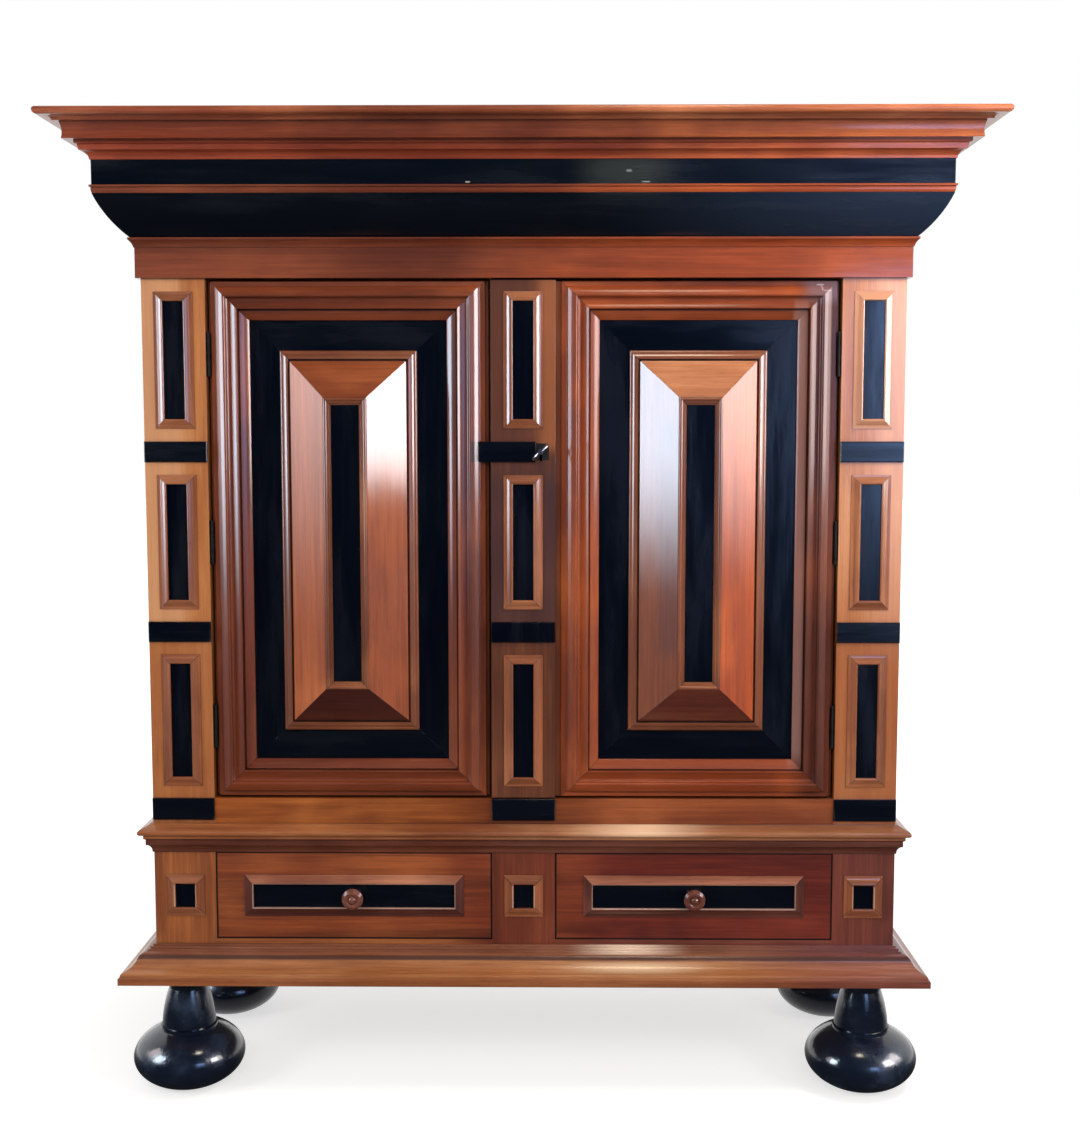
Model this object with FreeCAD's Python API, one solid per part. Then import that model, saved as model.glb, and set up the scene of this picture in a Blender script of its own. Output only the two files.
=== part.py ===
"""Two-door kas cupboard on ball feet, in millimetres.

The model is drawn with the front face of the pilasters at y = 0, the depth running to +y,
and the ground at z = 0. Before export it moves along y, so that the origin lies under the
middle of the whole cupboard. Each sub-part is written to parts/NAME.step.
"""

import FreeCAD, Part
import math
import os

# ---------------------------------------------------------------- driving dimensions
# Case
CASE_WIDTH = 1560.0
CASE_DEPTH = 580.0
POST_WIDTH = 130.0
POST_DEPTH = 80.0
CENTRE_WIDTH = 133.0
BOARD = 22.0
BACK_BOARD = 18.0
FIT = 0.3
SLIVER = 1.0

# Heights of the storeys, from the ground up
FOOT_HEIGHT = 257.0
PLINTH_HEIGHT = 69.0
LOWER_RAIL_SHOW = 11.0
DRAWER_BAY_HEIGHT = 187.5
WAIST_HEIGHT = 61.5
BASE_OVERLAP = 26.0
BOTTOM_RAIL_SHOW = 54.0
DOOR_BAY_HEIGHT = 1078.0
ARCHITRAVE_HEIGHT = 80.0
CUSHION_HEIGHT = 79.0
BEAD_HEIGHT = 16.0
FASCIA_HEIGHT = 49.0
CROWN_HEIGHT = 86.5

# How far the mouldings stand out from the case
PLINTH_REACH = 65.0
WAIST_REACH = 28.0
ARCHITRAVE_REACH = 9.0
ARCHITRAVE_CAP_REACH = 20.0
CUSHION_FOOT_REACH = 15.5
CUSHION_REACH = 73.0
BEAD_REACH = 77.0
FASCIA_REACH = 73.0
CROWN_REACH = 158.0
CORNICE_FRAME_REACH = 50.0
CUSHION_SEAT = 30.0
TOP_BOARD_THICKNESS = 18.0
TOP_BOARD_COUNT = 4
TOP_BOARD_DROP = 4.0

# Ball feet
FOOT_RADIUS = 118.0
FOOT_BALL_HEIGHT = 139.0
FOOT_PAD_RADIUS = 38.0
FOOT_COLLAR_RADIUS = 57.0
FOOT_NECK_RADIUS = 41.0
FOOT_TENON_RADIUS = 20.0
FOOT_INSET = 53.0
REAR_FOOT_INSET = 120.0
FLOOR_THICKNESS = 27.0

# Panels on pilasters and stiles: an ebony strip in a mitred frame
INSET_WIDTH = 42.0
INSET_FRAME_WIDTH = 19.5
INSET_FRAME_HEIGHT = 8.0
INSET_THICKNESS = 2.0
PILASTER_PANEL_MARGIN = 26.5
SQUARE_INSET_HEIGHT = 51.0
BAND_HEIGHT = 42.0
BAND_THICKNESS = 6.0
LOWEST_BAND_HEIGHT = 46.0
BAND_EDGE = 1.5

# Drawers
DRAWER_GAP = 1.5
DRAWER_FRONT_THICKNESS = 22.0
DRAWER_SIDE_THICKNESS = 14.0
DRAWER_SIDE_HEIGHT = 150.0
DRAWER_SIDE_GAP = 4.0
DRAWER_BACK_GAP = 42.0
DRAWER_BOTTOM_THICKNESS = 10.0
DRAWER_BOTTOM_RISE = 4.0
DRAWER_PANEL_MARGIN = 59.75
DRAWER_INSET_HEIGHT = 50.0
RUNNER_HEIGHT = 28.0
RUNNER_BEARING = 18.0
GUIDE_HEIGHT = 24.0
KNOB_RADIUS = 22.5
KNOB_LENGTH = 37.0
KNOB_NECK_RADIUS = 10.0
KNOB_BUTTON_RADIUS = 8.0
KNOB_TENON_RADIUS = 6.0
KNOB_CLEARANCE = 0.1

# Doors
DOOR_HINGE_GAP = 2.5
DOOR_MEETING_GAP = 5.0
DOOR_BOTTOM_GAP = 2.0
DOOR_TOP_GAP = 3.5
LEAF_FACE = 24.0
LEAF_THICKNESS = 30.0
STILE_WIDTH = 90.0
MOULDING_HINGE_MARGIN = 7.0
MOULDING_MEETING_MARGIN = 6.5
MOULDING_END_MARGIN = 1.5
MOULDING_WIDTH = 78.5
MOULDING_SLOPE = 14.0
MOULDING_FRONT = 12.0
FIELD_FACE = 16.0
FIELD_WIDTH = 62.0
INNER_MOULDING_WIDTH = 21.5
STRIP_WIDTH = 57.5
FACET_START = 3.0
FACET_RISE = 56.0
FACET_BOARD = 17.0
FACET_SEAT = 14.0
STRIP_FRAME_WIDTH = 15.5
STRIP_FRAME_HEIGHT = 19.0
STRIP_THICKNESS = 12.0
LIP_WIDTH = 47.0
LIP_OVERLAP = 18.0
LIP_THICKNESS = 12.0
FILLER_FACE = 11.0

# Hinges
HINGE_AXIS_GAP = 5.0
HINGE_AXIS_Y = 6.0
HINGE_HEIGHT = 90.0
HINGE_BARREL_RADIUS = 4.0
HINGE_PIN_RADIUS = 2.4
HINGE_PIN_CLEARANCE = 0.08
HINGE_LEAF = 2.5
HINGE_STRAP_LENGTH = 30.0
HINGE_POST_PLATE_DEPTH = 34.0
HINGE_END_DISTANCE = 150.0
HINGE_COUNT = 3
KNUCKLE_GAP = 0.4

# Slider over the keyhole, lock and key
SLIDER_KEY_GAP = 5.5
SLIDER_TONGUE_LENGTH = 70.0
SLIDER_TONGUE_NECK = 5.0
SLIDER_TONGUE_HALF = 8.0
SLIDER_TONGUE_DEPTH = 7.0
SLIDER_TRAVEL = 4.5
KEY_FROM_EDGE = 30.0
KEY_STEM_RADIUS = 4.0
KEY_CLEARANCE = 0.1
KEY_BOW_RADIUS = 23.0
KEY_BOW_LENGTH = 34.0
KEY_BOW_BAR = 3.4
KEY_BOW_FACE = 30.0
KEY_TURN_AT_REST = 45.0
KEY_BIT_LENGTH = 16.0
KEY_BIT_REACH = 17.0
KEY_BIT_THICKNESS = 4.0
KEYHOLE_PLATE_HALF_WIDTH = 16.5
KEYHOLE_PLATE_HALF_HEIGHT = 17.0
KEYHOLE_PLATE_THICKNESS = 1.5
KEYHOLE_SLOT_HALF = 2.6
KEYHOLE_SLOT_LENGTH = 15.0
LOCK_LIP_GAP = 10.5
LOCK_RIGHT_OF_KEY = 55.5
LOCK_BELOW_KEY = 30.0
LOCK_ABOVE_KEY = 56.0
LOCK_DEPTH = 32.0
LOCK_WALL = 2.5
BOLT_HEIGHT = 20.0
BOLT_THICKNESS = 10.0
BOLT_LENGTH = 96.0
BOLT_ABOVE_KEY = 21.0
BOLT_THROW = 24.0
KEEPER_WALL = 3.0

# Bolts of the left door
ROD_RADIUS = 4.0
ROD_LENGTH = 240.0
ROD_FROM_LEAF = 11.0
ROD_FROM_EDGE = 45.0
ROD_CLEARANCE = 0.08
ROD_REST_GAP = 3.0
STRIKE_CLEARANCE = 1.0
ROD_THROW = 30.0
ROD_STAPLE_HEIGHT = 14.0
ROD_STAPLE_HALF = 9.0
ROD_KNOB_RADIUS = 7.0
ROD_KNOB_LENGTH = 16.0
STOP_WIDTH = 16.0
STOP_DEPTH = 18.0
STOP_GAP = 1.0

# Inside the cupboard
SIDE_RAIL_THICKNESS = 24.0
SIDE_RAIL_HEIGHT = 120.0
SIDE_MIDDLE_RAIL_HEIGHT = 100.0
SIDE_PANEL_THICKNESS = 10.0
SIDE_PANEL_TONGUE = 8.0
SIDE_PANEL_FIELD_RISE = 6.0
SIDE_PANEL_FIELD_MARGIN = 40.0
REAR_POST_WIDTH = 45.0
CUPBOARD_FLOOR_DROP = 2.0
CUPBOARD_FLOOR_THICKNESS = 24.0
CARCASE_TOP_THICKNESS = 18.0
BACK_BOARD_COUNT = 6
SHELF_THICKNESS = 22.0
SHELF_COUNT = 2
SHELF_SETBACK = 6.0
BEARER_WIDTH = 24.0
BEARER_HEIGHT = 30.0

# ---------------------------------------------------------------- derived places
HALF = CASE_WIDTH / 2
POST_INNER = HALF - POST_WIDTH
CENTRE_LEFT = -CENTRE_WIDTH / 2
CENTRE_RIGHT = CENTRE_WIDTH / 2
BACK_FACE = CASE_DEPTH - BACK_BOARD
DRAWER_LENGTH = BACK_FACE - DRAWER_BACK_GAP
DRAWER_INSET_WIDTH = POST_INNER - CENTRE_RIGHT - 2 * (DRAWER_PANEL_MARGIN + INSET_FRAME_WIDTH)

PLINTH_BOTTOM = FOOT_HEIGHT
PLINTH_TOP = PLINTH_BOTTOM + PLINTH_HEIGHT
DRAWER_BAY_BOTTOM = PLINTH_TOP + LOWER_RAIL_SHOW
DRAWER_BAY_TOP = DRAWER_BAY_BOTTOM + DRAWER_BAY_HEIGHT
WAIST_TOP = DRAWER_BAY_TOP + WAIST_HEIGHT
BASE_TOP = WAIST_TOP - BASE_OVERLAP
DOOR_BAY_BOTTOM = WAIST_TOP + BOTTOM_RAIL_SHOW
DOOR_BAY_TOP = DOOR_BAY_BOTTOM + DOOR_BAY_HEIGHT
ARCHITRAVE_TOP = DOOR_BAY_TOP + ARCHITRAVE_HEIGHT
CUSHION_TOP = ARCHITRAVE_TOP + CUSHION_HEIGHT
BEAD_TOP = CUSHION_TOP + BEAD_HEIGHT
FASCIA_TOP = BEAD_TOP + FASCIA_HEIGHT
CROWN_TOP = FASCIA_TOP + CROWN_HEIGHT
TOP_BOARD_BOTTOM = CROWN_TOP - TOP_BOARD_THICKNESS - TOP_BOARD_DROP

FLOOR_TOP = PLINTH_BOTTOM + FLOOR_THICKNESS
CUPBOARD_FLOOR_TOP = DOOR_BAY_BOTTOM - CUPBOARD_FLOOR_DROP
CARCASE_TOP_BOTTOM = ARCHITRAVE_TOP - CARCASE_TOP_THICKNESS

LEAF_BACK = LEAF_FACE + LEAF_THICKNESS
LEAF_BOTTOM = DOOR_BAY_BOTTOM + DOOR_BOTTOM_GAP
LEAF_TOP = DOOR_BAY_TOP - DOOR_TOP_GAP
LEAF_OUTER = POST_INNER - DOOR_HINGE_GAP
LEFT_LEAF_EDGE = CENTRE_LEFT - DOOR_MEETING_GAP
MOULDING_OUTER = LEAF_OUTER - MOULDING_HINGE_MARGIN
MOULDING_INNER = -LEFT_LEAF_EDGE + MOULDING_MEETING_MARGIN
MOULDING_BOTTOM = LEAF_BOTTOM + MOULDING_END_MARGIN
MOULDING_TOP = LEAF_TOP - MOULDING_END_MARGIN
FACE_BORDER = MOULDING_WIDTH + FIELD_WIDTH + INNER_MOULDING_WIDTH + STRIP_FRAME_WIDTH
FACET_WIDTH = (MOULDING_OUTER - MOULDING_INNER - STRIP_WIDTH) / 2 - FACE_BORDER
FACET_TOP_FACE = FACET_START - FACET_RISE
CORE_FACE = FACET_TOP_FACE + FACET_BOARD

HINGE_X = POST_INNER - HINGE_AXIS_GAP
HINGE_SPACING = (LEAF_TOP - LEAF_BOTTOM - 2 * HINGE_END_DISTANCE) / (HINGE_COUNT - 1)
HINGE_HEIGHTS = [LEAF_BOTTOM + HINGE_END_DISTANCE + i * HINGE_SPACING for i in range(HINGE_COUNT)]

PILASTER_PANELS = 3
PILASTER_STEP = (DOOR_BAY_HEIGHT - (PILASTER_PANELS - 1) * BAND_HEIGHT) / PILASTER_PANELS
INSET_LENGTH = PILASTER_STEP - 2 * PILASTER_PANEL_MARGIN - 2 * INSET_FRAME_WIDTH
UPPER_BAND_Z = DOOR_BAY_TOP - PILASTER_STEP - BAND_HEIGHT / 2
LOWER_BAND_Z = UPPER_BAND_Z - BAND_HEIGHT - PILASTER_STEP
DRAWER_MIDDLE_Z = (DRAWER_BAY_BOTTOM + DRAWER_BAY_TOP) / 2

KEY_X = CENTRE_RIGHT - KEY_FROM_EDGE
KEY_Z = UPPER_BAND_Z
SLIDER_LEFT = SLIVER - MOULDING_INNER - MOULDING_SLOPE
SLIDER_LENGTH = KEY_X - KEY_STEM_RADIUS - SLIDER_KEY_GAP - SLIDER_LEFT
LIP_RIGHT = CENTRE_LEFT + LIP_OVERLAP
LOCK_LEFT = LIP_RIGHT + LOCK_LIP_GAP
LOCK_RIGHT = KEY_X + LOCK_RIGHT_OF_KEY

ROD_X = LEFT_LEAF_EDGE - ROD_FROM_EDGE
ROD_Y = LEAF_BACK + ROD_FROM_LEAF
STOP_FACE = LEAF_BACK + STOP_GAP

# The whole cupboard moves by this much along y, so that the origin is under its middle.
CENTRING_SHIFT = (CROWN_REACH - CASE_DEPTH) / 2


# ---------------------------------------------------------------- helpers
def box(x0, x1, y0, y1, z0, z1):
    """Box between two values on each axis."""
    corner = FreeCAD.Vector(min(x0, x1), min(y0, y1), min(z0, z1))
    return Part.makeBox(abs(x1 - x0), abs(y1 - y0), abs(z1 - z0), corner)


def rod(radius, start, direction, length):
    """Cylinder from a start point along a direction."""
    return Part.makeCylinder(radius, length, FreeCAD.Vector(*start), FreeCAD.Vector(*direction))


def profile_face(steps, place):
    """Face from a closed outline; a step is a point, or (point on the arc, end point)."""
    edges = []
    last = steps[0]
    for step in steps[1:] + [steps[0]]:
        if isinstance(step[0], tuple):
            middle, end = step
            edges.append(Part.Arc(place(*last), place(*middle), place(*end)).toShape())
        else:
            end = step
            edges.append(Part.LineSegment(place(*last), place(*end)).toShape())
        last = end
    return Part.Face(Part.Wire(edges))


def polygon_prism(points, direction):
    """Prism from a closed polygon of vectors."""
    wire = Part.makePolygon(points + [points[0]])
    return Part.Face(wire).extrude(direction)


def mirrored(shape):
    """The same shape on the other side of the middle plane."""
    return shape.mirror(FreeCAD.Vector(0, 0, 0), FreeCAD.Vector(1, 0, 0))


def mitred_frame(x0, x1, z0, z1, width, profile):
    """Four mitred strips inside a rectangle; the profile gives (distance from the edge, y)."""
    sides = [
        (lambda u, y: FreeCAD.Vector(x0, y, z0 + u), FreeCAD.Vector(x1 - x0, 0, 0),
         [(x0, z0), (x1, z0), (x1 - width, z0 + width), (x0 + width, z0 + width)]),
        (lambda u, y: FreeCAD.Vector(x0, y, z1 - u), FreeCAD.Vector(x1 - x0, 0, 0),
         [(x0, z1), (x1, z1), (x1 - width, z1 - width), (x0 + width, z1 - width)]),
        (lambda u, y: FreeCAD.Vector(x0 + u, y, z0), FreeCAD.Vector(0, 0, z1 - z0),
         [(x0, z0), (x0, z1), (x0 + width, z1 - width), (x0 + width, z0 + width)]),
        (lambda u, y: FreeCAD.Vector(x1 - u, y, z0), FreeCAD.Vector(0, 0, z1 - z0),
         [(x1, z0), (x1, z1), (x1 - width, z1 - width), (x1 - width, z0 + width)]),
    ]
    strips = []
    for place, sweep, corners in sides:
        strip = profile_face(profile, place).extrude(sweep)
        front = strip.BoundBox.YMin - SLIVER
        depth = strip.BoundBox.YLength + 2 * SLIVER
        outline = [FreeCAD.Vector(x, front, z) for x, z in corners]
        strips.append(strip.common(polygon_prism(outline, FreeCAD.Vector(0, depth, 0))))
    return strips


def case_moulding(back, reach, profile):
    """Front run and two side runs, mitred at the front corners; the profile gives (reach, z)."""
    low = min(step[1] for step in profile if not isinstance(step[0], tuple)) - SLIVER
    high = max(step[1] for step in profile if not isinstance(step[0], tuple)) + SLIVER
    outer = HALF + reach
    inner = HALF + back
    front = profile_face(profile, lambda p, z: FreeCAD.Vector(-outer, -p, z))
    front = front.extrude(FreeCAD.Vector(2 * outer, 0, 0))
    plan = [(-outer, -reach), (outer, -reach), (inner, -back), (-inner, -back)]
    outline = [FreeCAD.Vector(x, y, low) for x, y in plan]
    front = front.common(polygon_prism(outline, FreeCAD.Vector(0, 0, high - low)))
    side = profile_face(profile, lambda p, z: FreeCAD.Vector(HALF + p, -reach, z))
    side = side.extrude(FreeCAD.Vector(0, CASE_DEPTH + reach, 0))
    plan = [(inner, -back), (outer, -reach), (outer, CASE_DEPTH), (inner, CASE_DEPTH)]
    outline = [FreeCAD.Vector(x, y, low) for x, y in plan]
    side = side.common(polygon_prism(outline, FreeCAD.Vector(0, 0, high - low)))
    return [front, side, mirrored(side)]


def band(x0, x1, z0, z1, thickness=BAND_THICKNESS):
    """Ebony band on the face of a pilaster, with its front edges eased."""
    block = box(x0, x1, -thickness, 0, z0, z1)
    front = [e for e in block.Edges if e.BoundBox.YMax < -thickness + SLIVER / 2]
    return block.makeChamfer(BAND_EDGE, front)


# ---------------------------------------------------------------- base
def turned_foot(x, y):
    """Squashed ball with a cup, a neck and a tenon that goes through the floor board."""
    half_height = FOOT_BALL_HEIGHT / 2
    lift = half_height * math.sqrt(1 - (FOOT_PAD_RADIUS / FOOT_RADIUS) ** 2)
    ball = Part.Ellipse(FreeCAD.Vector(0, 0, lift), FOOT_RADIUS, half_height)
    ball.Axis = FreeCAD.Vector(0, -1, 0)
    ball.XAxis = FreeCAD.Vector(1, 0, 0)
    step = 3.0
    ring = FOOT_COLLAR_RADIUS + step
    pad_angle = math.asin(-lift / half_height)
    ring_angle = math.acos(ring / FOOT_RADIUS)
    arc = Part.ArcOfEllipse(ball, pad_angle, ring_angle)
    ring_z = lift + half_height * math.sin(ring_angle)
    cup_z = ring_z + 3 * step
    neck_z = FOOT_HEIGHT - 42.0
    pad_edge = arc.StartPoint
    points = [
        arc.EndPoint,
        FreeCAD.Vector(ring, 0, ring_z + 2 * step),
        FreeCAD.Vector(ring - 2 * step, 0, ring_z + 2 * step),
        FreeCAD.Vector(ring - 2 * step, 0, cup_z),
        FreeCAD.Vector(FOOT_COLLAR_RADIUS, 0, cup_z),
    ]
    middle = FreeCAD.Vector((FOOT_COLLAR_RADIUS + FOOT_NECK_RADIUS) / 2 + step, 0, (cup_z + neck_z) / 2)
    edges = [Part.LineSegment(a, b).toShape() for a, b in zip(points, points[1:])]
    neck = FreeCAD.Vector(FOOT_NECK_RADIUS, 0, neck_z)
    edges.append(Part.Arc(points[-1], middle, neck).toShape())
    top = [
        neck,
        FreeCAD.Vector(FOOT_NECK_RADIUS, 0, FOOT_HEIGHT),
        FreeCAD.Vector(FOOT_TENON_RADIUS, 0, FOOT_HEIGHT),
        FreeCAD.Vector(FOOT_TENON_RADIUS, 0, FLOOR_TOP),
        FreeCAD.Vector(0, 0, FLOOR_TOP),
        FreeCAD.Vector(0, 0, pad_edge.z),
        pad_edge,
    ]
    edges += [Part.LineSegment(a, b).toShape() for a, b in zip(top, top[1:])]
    wire = Part.Wire(Part.__sortEdges__([arc.toShape()] + edges))
    solid = Part.Face(wire).revolve(FreeCAD.Vector(0, 0, 0), FreeCAD.Vector(0, 0, 1), 360)
    return solid.translated(FreeCAD.Vector(x, y, -pad_edge.z))


def foot_places():
    """Centre of each foot, by name."""
    across = HALF - FOOT_INSET
    return {
        "foot_front_left": (-across, FOOT_INSET),
        "foot_front_right": (across, FOOT_INSET),
        "foot_rear_left": (-across, CASE_DEPTH - REAR_FOOT_INSET),
        "foot_rear_right": (across, CASE_DEPTH - REAR_FOOT_INSET),
    }


def base_floor():
    """Floor board of the base, with a mortise for each foot."""
    board = box(-HALF, HALF, 0, CASE_DEPTH, PLINTH_BOTTOM, FLOOR_TOP)
    for x, y in foot_places().values():
        board = board.cut(rod(FOOT_TENON_RADIUS, (x, y, PLINTH_BOTTOM), (0, 0, 1), FLOOR_THICKNESS))
    return [board]


def base_case():
    """Sides, back and dust board of the base."""
    side = box(HALF - BOARD, HALF, POST_DEPTH / 2, BACK_FACE, FLOOR_TOP, BASE_TOP)
    back = box(-HALF, HALF, BACK_FACE, CASE_DEPTH, FLOOR_TOP, BASE_TOP)
    inner = HALF - BOARD
    dust = box(-inner, inner, POST_DEPTH / 2, BACK_FACE, BASE_TOP - BOARD, BASE_TOP)
    return [side, mirrored(side), back, dust]


def base_front_frame():
    """Three stiles, with a rail under and a rail over each drawer."""
    depth = POST_DEPTH / 2
    left = box(-HALF, -POST_INNER, 0, depth, FLOOR_TOP, BASE_TOP)
    centre = box(CENTRE_LEFT, CENTRE_RIGHT, 0, depth, FLOOR_TOP, BASE_TOP)
    solids = [left, mirrored(left), centre]
    for x0, x1 in drawer_bays().values():
        solids.append(box(x0, x1, 0, depth, FLOOR_TOP, DRAWER_BAY_BOTTOM))
        solids.append(box(x0, x1, 0, depth, DRAWER_BAY_TOP, BASE_TOP))
    return solids


def drawer_bays():
    """The opening of each drawer, left edge and right edge."""
    return {"left": (-POST_INNER, CENTRE_LEFT), "right": (CENTRE_RIGHT, POST_INNER)}


def drawer_runners():
    """Runners that carry the drawer sides, and the guides on them."""
    start = POST_DEPTH / 2
    top = DRAWER_BAY_BOTTOM + DRAWER_GAP - FIT
    bottom = top - RUNNER_HEIGHT
    bearing = DRAWER_SIDE_GAP + RUNNER_BEARING
    solids = [box(CENTRE_LEFT - bearing, CENTRE_RIGHT + bearing, start, BACK_FACE, bottom, top)]
    guide_half = CENTRE_WIDTH / 2 + DRAWER_SIDE_GAP - SLIVER
    solids.append(box(-guide_half, guide_half, start, BACK_FACE, top, top + GUIDE_HEIGHT))
    runner = box(POST_INNER - bearing, HALF - BOARD, start, BACK_FACE, bottom, top)
    guide = box(POST_INNER - DRAWER_SIDE_GAP + SLIVER, HALF - BOARD, start, BACK_FACE, top, top + GUIDE_HEIGHT)
    return solids + [runner, mirrored(runner), guide, mirrored(guide)]


def plinth_moulding():
    """Flaring moulding round the foot of the base."""
    z0 = PLINTH_BOTTOM
    z1 = PLINTH_TOP
    r = PLINTH_REACH
    profile = [
        (0, z0), (r, z0), (r, z0 + 14), (r - 4, z0 + 16), (r - 4, z0 + 21), (r - 8, z0 + 24),
        ((r - 22, z0 + 31), (r - 32, z0 + 44)),
        ((r - 38, z0 + 53), (15, z1 - 12)),
        (15, z1 - 9), (10, z1 - 9), (10, z1 - 4), (5, z1 - 4), (5, z1), (0, z1),
    ]
    return case_moulding(0, r, profile)


def waist_moulding():
    """Moulding that holds the cupboard on the base."""
    z0 = DRAWER_BAY_TOP
    z1 = WAIST_TOP
    r = WAIST_REACH
    profile = [
        (0, z0), (3, z0), ((5, z0 + 10), (12, z0 + 17)), (14, z0 + 17), (14, z0 + 29),
        (18, z0 + 31), (18, z0 + 39), (r - 9, z0 + 40),
        ((r, z0 + 46.5), (r - 4.5, z0 + 52)), (6, z1 - 1), (6, z1), (0, z1),
    ]
    return case_moulding(0, r, profile)


# ---------------------------------------------------------------- drawers
def drawer_front(x0, x1):
    """Board that closes the bay, with the hole for the knob's tenon."""
    z0 = DRAWER_BAY_BOTTOM + DRAWER_GAP
    z1 = DRAWER_BAY_TOP - DRAWER_GAP
    front = box(x0 + DRAWER_GAP, x1 - DRAWER_GAP, 0, DRAWER_FRONT_THICKNESS, z0, z1)
    radius = KNOB_TENON_RADIUS + KNOB_CLEARANCE
    hole = rod(radius, ((x0 + x1) / 2, 0, DRAWER_MIDDLE_Z), (0, 1, 0), DRAWER_FRONT_THICKNESS)
    return [front.cut(hole)]


def drawer_box(x0, x1):
    """Two sides, back and bottom behind the front."""
    z0 = DRAWER_BAY_BOTTOM + DRAWER_GAP
    left = x0 + DRAWER_SIDE_GAP
    right = x1 - DRAWER_SIDE_GAP
    start = DRAWER_FRONT_THICKNESS
    end = DRAWER_LENGTH
    top = z0 + DRAWER_SIDE_HEIGHT
    wall = DRAWER_SIDE_THICKNESS
    floor = z0 + DRAWER_BOTTOM_RISE
    return [
        box(left, left + wall, start, end, z0, top),
        box(right - wall, right, start, end, z0, top),
        box(left + wall, right - wall, end - wall, end, floor, top),
        box(left + wall, right - wall, start, end - wall, floor, floor + DRAWER_BOTTOM_THICKNESS),
    ]


def drawer_panel(x0, x1):
    """Ebony strip across the front, and the mitred frame round it."""
    middle = (x0 + x1) / 2
    hole = KNOB_TENON_RADIUS + KNOB_CLEARANCE
    return framed_inset(middle, DRAWER_MIDDLE_Z, DRAWER_INSET_WIDTH, DRAWER_INSET_HEIGHT, hole)


def drawer_knob(x0, x1):
    """Turned knob with a dished face and a button, on a tenon through the front."""
    seat = -INSET_THICKNESS
    tip = seat - KNOB_LENGTH
    rim = tip + 11.0
    profile = [
        (0, tip), ((KNOB_BUTTON_RADIUS * 0.7, tip + 1.5), (KNOB_BUTTON_RADIUS, tip + 5)),
        (KNOB_BUTTON_RADIUS + 1, tip + 6), ((KNOB_RADIUS - 7, tip + 3), (KNOB_RADIUS - 2, rim - 3)),
        ((KNOB_RADIUS, rim), (KNOB_RADIUS - 2, rim + 4)),
        ((KNOB_NECK_RADIUS + 4, rim + 10), (KNOB_NECK_RADIUS, seat - 8)),
        ((KNOB_NECK_RADIUS + 1, seat - 5), (KNOB_NECK_RADIUS + 4, seat - 3)),
        (KNOB_NECK_RADIUS + 4, seat), (KNOB_TENON_RADIUS, seat),
        (KNOB_TENON_RADIUS, DRAWER_FRONT_THICKNESS), (0, DRAWER_FRONT_THICKNESS),
    ]
    face = profile_face(profile, lambda r, y: FreeCAD.Vector(r, y, 0))
    knob = face.revolve(FreeCAD.Vector(0, 0, 0), FreeCAD.Vector(0, 1, 0), 360)
    return [knob.translated(FreeCAD.Vector((x0 + x1) / 2, 0, DRAWER_MIDDLE_Z))]


# ---------------------------------------------------------------- panels and bands
def inset_frame_profile():
    """Section of the small frames: a step and a hollow, then a rise that rolls over to the ebony."""
    h = INSET_FRAME_HEIGHT
    w = INSET_FRAME_WIDTH
    return [
        (0, 0), (0, -h * 0.25), ((w * 0.2, -h * 0.29), (w * 0.38, -h * 0.42)),
        ((w * 0.6, -h * 0.77), (w * 0.85, -h)), ((w * 0.95, -h * 0.9), (w, -h * 0.6)), (w, 0),
    ]


def framed_inset(x, z, width, height, hole_radius=0.0):
    """Ebony strip and the four strips of its frame, centred on a point of the front face."""
    half_w = width / 2
    half_h = height / 2
    inset = box(x - half_w, x + half_w, -INSET_THICKNESS, 0, z - half_h, z + half_h)
    if hole_radius:
        inset = inset.cut(rod(hole_radius, (x, -INSET_THICKNESS, z), (0, 1, 0), INSET_THICKNESS))
    edge = INSET_FRAME_WIDTH
    frame = mitred_frame(x - half_w - edge, x + half_w + edge, z - half_h - edge, z + half_h + edge,
                         edge, inset_frame_profile())
    return inset, frame


def pilaster_panels(x):
    """The three insets and frames on a pilaster, from the top down."""
    insets = []
    frames = []
    for i in range(PILASTER_PANELS):
        z = DOOR_BAY_TOP - PILASTER_STEP / 2 - i * (PILASTER_STEP + BAND_HEIGHT)
        inset, frame = framed_inset(x, z, INSET_WIDTH, INSET_LENGTH)
        insets.append(inset)
        frames += frame
    return insets, frames


def fixed_insets():
    """Ebony insets of the posts and of the base stiles, and their frames."""
    post_x = HALF - POST_WIDTH / 2
    insets = []
    frames = []
    for x in (-post_x, post_x):
        more_insets, more_frames = pilaster_panels(x)
        insets += more_insets
        frames += more_frames
    for x in (-post_x, 0, post_x):
        inset, frame = framed_inset(x, DRAWER_MIDDLE_Z, INSET_WIDTH, SQUARE_INSET_HEIGHT)
        insets.append(inset)
        frames += frame
    return insets, frames


def ebony_bands():
    """Bands of the side pilasters, and the three lowest bands on the bottom rail's level."""
    solids = []
    for x0, x1 in ((-HALF, -POST_INNER), (POST_INNER, HALF)):
        for z in (UPPER_BAND_Z, LOWER_BAND_Z):
            solids.append(band(x0, x1, z - BAND_HEIGHT / 2, z + BAND_HEIGHT / 2))
    lowest = ((-HALF, -POST_INNER), (CENTRE_LEFT, CENTRE_RIGHT), (POST_INNER, HALF))
    for x0, x1 in lowest:
        solids.append(band(x0, x1, DOOR_BAY_BOTTOM - LOWEST_BAND_HEIGHT, DOOR_BAY_BOTTOM))
    return solids


# ---------------------------------------------------------------- cupboard
def post():
    """Right front post; its face is the pilaster. It has the mortises of the hinge plates."""
    solid = box(POST_INNER, HALF, 0, POST_DEPTH, BASE_TOP, ARCHITRAVE_TOP)
    for z in HINGE_HEIGHTS:
        solid = solid.cut(hinge_post_plate(z))
    for panel in side_panels():
        solid = solid.cut(panel)
    return solid


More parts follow.
